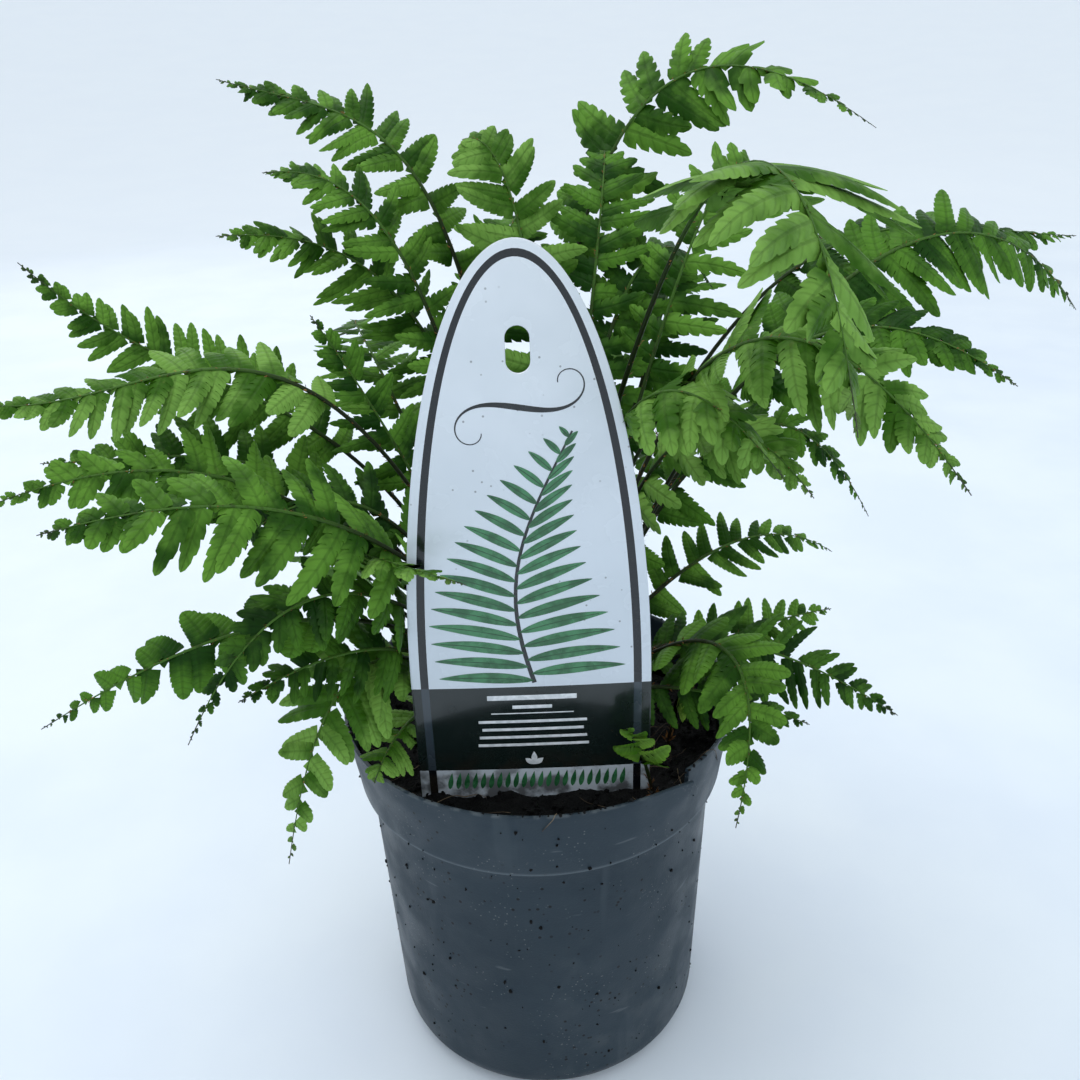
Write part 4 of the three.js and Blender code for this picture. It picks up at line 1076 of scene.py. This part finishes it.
outer = label_outline(0)
step = np.linalg.norm(np.diff(outer, axis=0, append=outer[:1]), axis=1)
walk = np.concatenate([[0], np.cumsum(step)[:-1]])
even_walk = np.linspace(0, step.sum(), AROUND, endpoint=False)
stops = np.stack([np.interp(even_walk, walk, outer[:, axis], period=step.sum())
                  for axis in (0, 1)], -1)
rays = np.arctan2(stops[:, 1] - SLOT_CENTRE, stops[:, 0]) % (2 * np.pi)
aim = np.stack([np.cos(rays), np.sin(rays)], -1)
slot_reach = slot_lengths(aim)
insets = [0.00015, 0.0006, 0.0018, LINE_INSET, LINE_INSET + 0.0001, LINE_INSET + LINE_WIDTH,
          LINE_INSET + LINE_WIDTH + 0.0001]
loops = [ray_lengths(label_outline(inset), rays) for inset in insets]
inside_print, edge_reach = loops[-1], ray_lengths(outer, rays)
for share in (0.12, 0.3, 0.5, 0.7, 0.85, 0.96):
    loops.append(inside_print * (1 - share) + (slot_reach + 0.0004) * share)
    insets.append(FAR_IN)
# The loops of the sheet's skin, from the slot over the printed face, round the edge and back:
# how far each lies from the slot's centre, how far in it counts for the print, and its depth.
section = [(slot_reach, FAR_IN, -HALF_SHEET + 0.0002), (slot_reach + 0.00015, FAR_IN, -HALF_SHEET)]
section += [(loop, inset, -HALF_SHEET) for loop, inset in zip(loops[::-1], insets[::-1])]
section += [(edge_reach, 0, -HALF_SHEET + 0.0001), (edge_reach, 0, HALF_SHEET - 0.0001)]
section += [(loop, FAR_IN, HALF_SHEET) for loop in loops]
section += [(slot_reach + 0.00015, FAR_IN, HALF_SHEET), (slot_reach, FAR_IN, HALF_SHEET - 0.0002)]


def label_bend(x, z):
    """The sheet isn't quite flat: it bows back at the sides and the head leans back a little."""
    lean = np.clip((z - LABEL_SHOULDER) / 0.136, 0, 1)
    return 0.0007 * (x / LABEL_HALF_WIDTH) ** 2 + 0.0012 * lean ** 2


plate = Skins()
flat = np.stack([aim * reach[:, None] for reach, _, _ in section]) + [0, SLOT_CENTRE]
depth = np.array([offset for _, _, offset in section])[:, None]
sheet_y = LABEL_PLANE + depth + label_bend(flat[..., 0], flat[..., 1])
marks = np.zeros((*sheet_y.shape, 3))
marks[..., 0] = np.array([inset for _, inset, _ in section])[:, None]
marks[..., 1] = depth < 0
plate.add(np.stack([LABEL_CENTRE + flat[..., 0], sheet_y, flat[..., 1]], -1),
          grid_faces(len(section), AROUND, closed_rows=True, closed_columns=True), 0, print=marks)

sheet = Finish("label_gloss_sheet", Specular_IOR_Level=0.5, Coat_Weight=0.35, Coat_Roughness=0.08)
inset, face, _ = sheet.parts(sheet.attribute("print"))
height = sheet.parts(sheet.place)[2]
# Painted shade: the white sheet is greyer below the shoulder and whitest at the top of the head.
sheet.ground(sheet.ease(height, 0.15, 0.29), (206, 216, 226), (228, 234, 240))
sheet.lay(sheet.cloud(30, 3, 0.35, 0.65, 0, 0.3), (196, 206, 214))
band = sheet.times(sheet.maths("LESS_THAN", height, BAND_TOP),
                   sheet.maths("GREATER_THAN", height, BAND_FOOT))
printed = sheet.times(band, sheet.maths("GREATER_THAN", face, 0.5))
sheet.lay(printed, (20, 30, 28))
line = sheet.times(sheet.maths("GREATER_THAN", inset, LINE_INSET + 0.00005),
                   sheet.maths("LESS_THAN", inset, LINE_INSET + LINE_WIDTH + 0.00005))
line = sheet.times(line, sheet.maths("GREATER_THAN", face, 0.5))
ink = sheet.mix(band, tint(12, 16, 22), tint(52, 62, 70))
sheet.colour = sheet.mix(line, sheet.colour, ink)
dust = sheet.ease(sheet.cells(260), 0.05, 0.11, 1, 0)
dust = sheet.times(dust, sheet.cloud(40, 2, 0.5, 0.6, 0, 0.6))
sheet.lay(dust, (60, 58, 50))
smear = sheet.times(sheet.ease(height, 0.118, 0.135, 1, 0), sheet.cloud(160, 4, 0.4, 0.6, 0, 0.8))
sheet.lay(smear, (38, 34, 28))
sheet.bump(sheet.noise(60, 2), 0.06, 0.0005)
sheet.show(sheet.cloud(90, 3, 0.3, 0.7, 0.16, 0.3))
label_sheet = plate.piece("label_sheet", [sheet.material], 40)
seal(label_sheet)
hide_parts("label")


def ink_strokes(line_x, line_z, half_width, layer):
    """Raised ink: each stroke follows its line of (stroke, station) points, as wide to each side
    as it is told, and is a flat lens over the face of the sheet."""
    line = np.stack([line_x, line_z], -1)
    along = unit(np.gradient(line, axis=1))
    normal = np.stack([-along[..., 1], along[..., 0]], -1)
    offset = np.array([-1, 0, 1, 0])[None, None, :, None]
    flat = line[..., None, :] + normal[..., None, :] * offset * half_width[..., None, None]
    rise = np.array([0.00004, 0.00009, 0.00004, -0.0001]) + layer
    y = LABEL_PLANE - HALF_SHEET + label_bend(flat[..., 0], flat[..., 1]) - rise
    points = np.stack([LABEL_CENTRE + flat[..., 0], y, flat[..., 1]], -1)
    return points, tube_faces(*line_x.shape, len(rise))


def sprig_stem(share):
    """The sprig's stem: a slow bow from the band up to under the slot."""
    return 0.001 + 0.010 * share ** 2 - 0.006 * np.sin(3.6 * share), 0.1565 + 0.079 * share


print_ink = Skins()
share = np.linspace(0, 1, 30)[None]
x, z = sprig_stem(share)
print_ink.add(*ink_strokes(x, z, 0.0007 * (1 - 0.6 * share), 0), 1)
# Plain willow-like leaves in alternating steps up the stem, long below and short above.
leaf = np.arange(SPRIG_LEAVES)
at = (leaf + 0.3) / SPRIG_LEAVES
side = np.where(leaf % 2, 1, -1)
foot_x, foot_z = sprig_stem(at)
length = 0.0295 * (1 - at) ** 0.8 * (0.86 + 0.14 * np.clip(at / 0.2, 0, 1)) + 0.003
rise = np.radians(8 + 46 * at)
station = np.linspace(0, 1, 17)[None]


def leaf_line(station):
    """Each leaf rises from the stem at its angle, and sags by 0.1 of its length."""
    x = foot_x[:, None] + side[:, None] * np.cos(rise)[:, None] * length[:, None] * station
    z = foot_z[:, None] + np.sin(rise)[:, None] * length[:, None] * station
    room = LABEL_HALF_WIDTH - LINE_INSET - LINE_WIDTH - 0.0006
    return np.clip(x, -room, room), z - 0.1 * length[:, None] * station ** 2


x, z = leaf_line(station)
wide = 0.0017 * np.sin(np.pi * station ** 0.8) ** 0.8 * (length[:, None] / 0.026) ** 0.5 + 0.00008
print_ink.add(*ink_strokes(x, z, wide, 0.00002), 0)
x, z = leaf_line(station * 0.9)
print_ink.add(*ink_strokes(x, z, np.full(x.shape, 0.00013), 0.00008), 3)
# A thin scroll crosses the head under the slot. Its direction turns the same way toward both
# ends, so that one end curls up and the other down.
share = np.linspace(-1, 1, 141)
bearing = math.radians(-10) + 5.0 * np.abs(share) ** 2.4
walk = 0.00046 * np.stack([np.cos(bearing), np.sin(bearing)], -1).cumsum(axis=0)
walk = walk - walk[len(walk) // 2] + [0, 0.2425]
thick = (0.00014 + 0.0007 * np.exp(-(share / 0.4) ** 2))[None]
print_ink.add(*ink_strokes(walk[None, :, 0], walk[None, :, 1], thick, 0), 1)
# White rules on the band: a thick one, a short one, a hairline and four thin ones, each with
# half its length, its height above the floor and half its width.
rules = np.array([[0.0135, 0.1512, 0.00085], [0.0060, 0.1478, 0.0006], [0.0125, 0.1455, 0.00018],
                  [0.0165, 0.1425, 0.0005], [0.0155, 0.1396, 0.0005], [0.0165, 0.1367, 0.0005],
                  [0.0170, 0.1338, 0.0005]])
share = np.linspace(-1, 1, 12)[None]
x = rules[:, :1] * share
z = np.broadcast_to(rules[:, 1:2], x.shape)
print_ink.add(*ink_strokes(x, z, np.broadcast_to(rules[:, 2:], x.shape), 0), 2)
# A small three-leaf sprig closes the band, and green leaf tips peep over the strip below it.
fan = np.radians(np.array([40, 90, 140]))
reach = np.array([0.0036, 0.0048, 0.0036])[:, None] * station
x = np.cos(fan)[:, None] * reach
z = 0.1262 + np.sin(fan)[:, None] * reach
print_ink.add(*ink_strokes(x, z, 0.00085 * np.sin(np.pi * station) + 0.00006 + 0 * x, 0), 2)
tips = np.linspace(-0.027, 0.027, 22)[:, None]
x = tips + 0.0011 * station
z = 0.1172 + 0.0062 * station + 0 * x
print_ink.add(*ink_strokes(x, z, 0.00075 * np.sin(np.pi * station ** 0.7) + 0.00006 + 0 * x, 0), 0)


def ink_finish(name, dark, light, scale):
    """Printing ink: a little uneven, with the fine screen of a cheap print."""
    made = Finish(name, Specular_IOR_Level=0.5, Coat_Weight=0.3, Coat_Roughness=0.1)
    made.ground(made.cloud(scale, 4, 0.35, 0.65), dark, light)
    made.bump(made.noise(2400, 2), 0.05, 0.0001)
    return made.show(made.cloud(90, 3, 0.3, 0.7, 0.2, 0.34))


inks = [ink_finish("ink_leaf_green", (36, 92, 54), (64, 128, 84), 240),
        ink_finish("ink_black", (18, 22, 24), (34, 38, 40), 300),
        ink_finish("ink_white", (206, 212, 216), (232, 236, 240), 500),
        ink_finish("ink_vein", (26, 66, 40), (40, 88, 54), 300)]
label_print = print_ink.piece("label_print", inks, 60)

# Studio
# A wide pale floor that rises gently far out, so that no horizon shows, in a bright room. One
# big soft lamp overhead, weak ones in front and behind, and a camera looking down on the plant.

FLOOR_COLUMNS = 97
LENS_PIXELS = 1050
PHOTO_PIXELS = 1080
CAMERA_PLACE = (0.0026, -0.298, 0.333)
CAMERA_PITCH = 26.2
CAMERA_ROLL = -2.0

ground = Skins()
reach = np.concatenate([[0], np.geomspace(0.05, 9, 24)])
turns = np.linspace(0, 2 * np.pi, FLOOR_COLUMNS)
x, y = reach[:, None] * np.cos(turns), reach[:, None] * np.sin(turns)
z = -0.0002 + 0.045 * np.maximum(0, reach - 1.2)[:, None] ** 2 + 0 * x
ground.add(np.stack([x, y, z], -1), grid_faces(len(reach), FLOOR_COLUMNS))
paper = Finish("pale_floor", Specular_IOR_Level=0.2)
paper.ground(paper.cloud(9, 4, 0.3, 0.7), (222, 232, 243), (229, 238, 246))
east, north, _ = paper.parts(paper.place)
from_pot = paper.maths("ADD", paper.times(east, east), paper.times(north, north))
# Painted light: the floor grows paler away from the pot, making up for the lamps' light that falls
# off with distance.
paper.lay(paper.ease(from_pot, 0.2, 4, 0, 0.8), (243, 249, 254))
paper.show(paper.cloud(20, 2, 0.3, 0.7, 0.5, 0.65))
floor = ground.piece("pale_floor", [paper.material], 180)
floor.parent = None
del floor["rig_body"]
floor["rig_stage"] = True

world = bpy.data.worlds.new("soft_room")
world.use_nodes = True
tree = world.node_tree
direction = tree.nodes.new("ShaderNodeTexCoord")
split = tree.nodes.new("ShaderNodeSeparateXYZ")
rise = tree.nodes.new("ShaderNodeMapRange")
sky = tree.nodes.new("ShaderNodeMix")
tree.links.new(direction.outputs["Generated"], split.inputs[0])
tree.links.new(split.outputs[2], rise.inputs["Value"])
rise.inputs[1].default_value = 0.03
rise.inputs[2].default_value = 0.5
sky.data_type = "RGBA"
sky.inputs[6].default_value = (0.70, 0.785, 0.88, 1)
sky.inputs[7].default_value = (0.90, 0.95, 1.0, 1)
tree.links.new(rise.outputs[0], sky.inputs[0])
tree.links.new(sky.outputs[2], tree.nodes["Background"].inputs["Color"])
tree.nodes["Background"].inputs["Strength"].default_value = 0.95
bpy.context.scene.world = world


def posed(axes, place):
    """A pose whose columns are three axes and a place."""
    return Matrix([[*axes[row], place[row]] for row in range(3)] + [[0, 0, 0, 1]])


def soft_lamp(name, place, aim_at, size, watts, colour):
    """A square lamp that faces the point it is aimed at."""
    lamp = bpy.data.lights.new(name, "AREA")
    lamp.size = size
    lamp.energy = watts
    lamp.color = colour
    made = bpy.data.objects.new(name, lamp)
    back = unit(np.array(place, float) - np.array(aim_at, float))
    side = unit(np.cross([0, 1.0, 0.02], back))
    axes = np.stack([side, np.cross(back, side), back], 1)
    made.matrix_world = posed(axes, place)
    bpy.context.scene.collection.objects.link(made)


soft_lamp("overhead", (-0.35, 0.2, 1.5), (0, 0, 0.15), 0.9, 6, (1.0, 0.99, 0.97))
soft_lamp("front", (0.7, -1.1, 0.9), (0, 0, 0.15), 0.8, 1.5, (0.95, 0.98, 1.0))
soft_lamp("behind", (-0.6, 1.2, 0.8), (0, 0, 0.15), 0.8, 2, (1.0, 0.98, 0.95))

lens = bpy.data.cameras.new("plant_camera")
lens.sensor_width = 36
lens.lens = 36 * LENS_PIXELS / PHOTO_PIXELS
lens.clip_start = 0.01
lens.clip_end = 50
camera = bpy.data.objects.new("plant_camera", lens)
bpy.context.scene.collection.objects.link(camera)
pitch, roll = math.radians(CAMERA_PITCH), math.radians(CAMERA_ROLL)
forward = np.array([0, math.cos(pitch), -math.sin(pitch)])
level_right = np.array([1.0, 0, 0])
level_up = np.cross(level_right, forward)
right = level_right * math.cos(roll) + level_up * math.sin(roll)
up = level_up * math.cos(roll) - level_right * math.sin(roll)
axes = np.stack([right, up, -forward], 1)
camera.matrix_world = posed(axes, CAMERA_PLACE)
bpy.context.scene.camera = camera
bpy.context.scene.view_settings.view_transform = "Standard"

size = {"cad": solid_box, "visual": [list(corner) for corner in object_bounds()]}
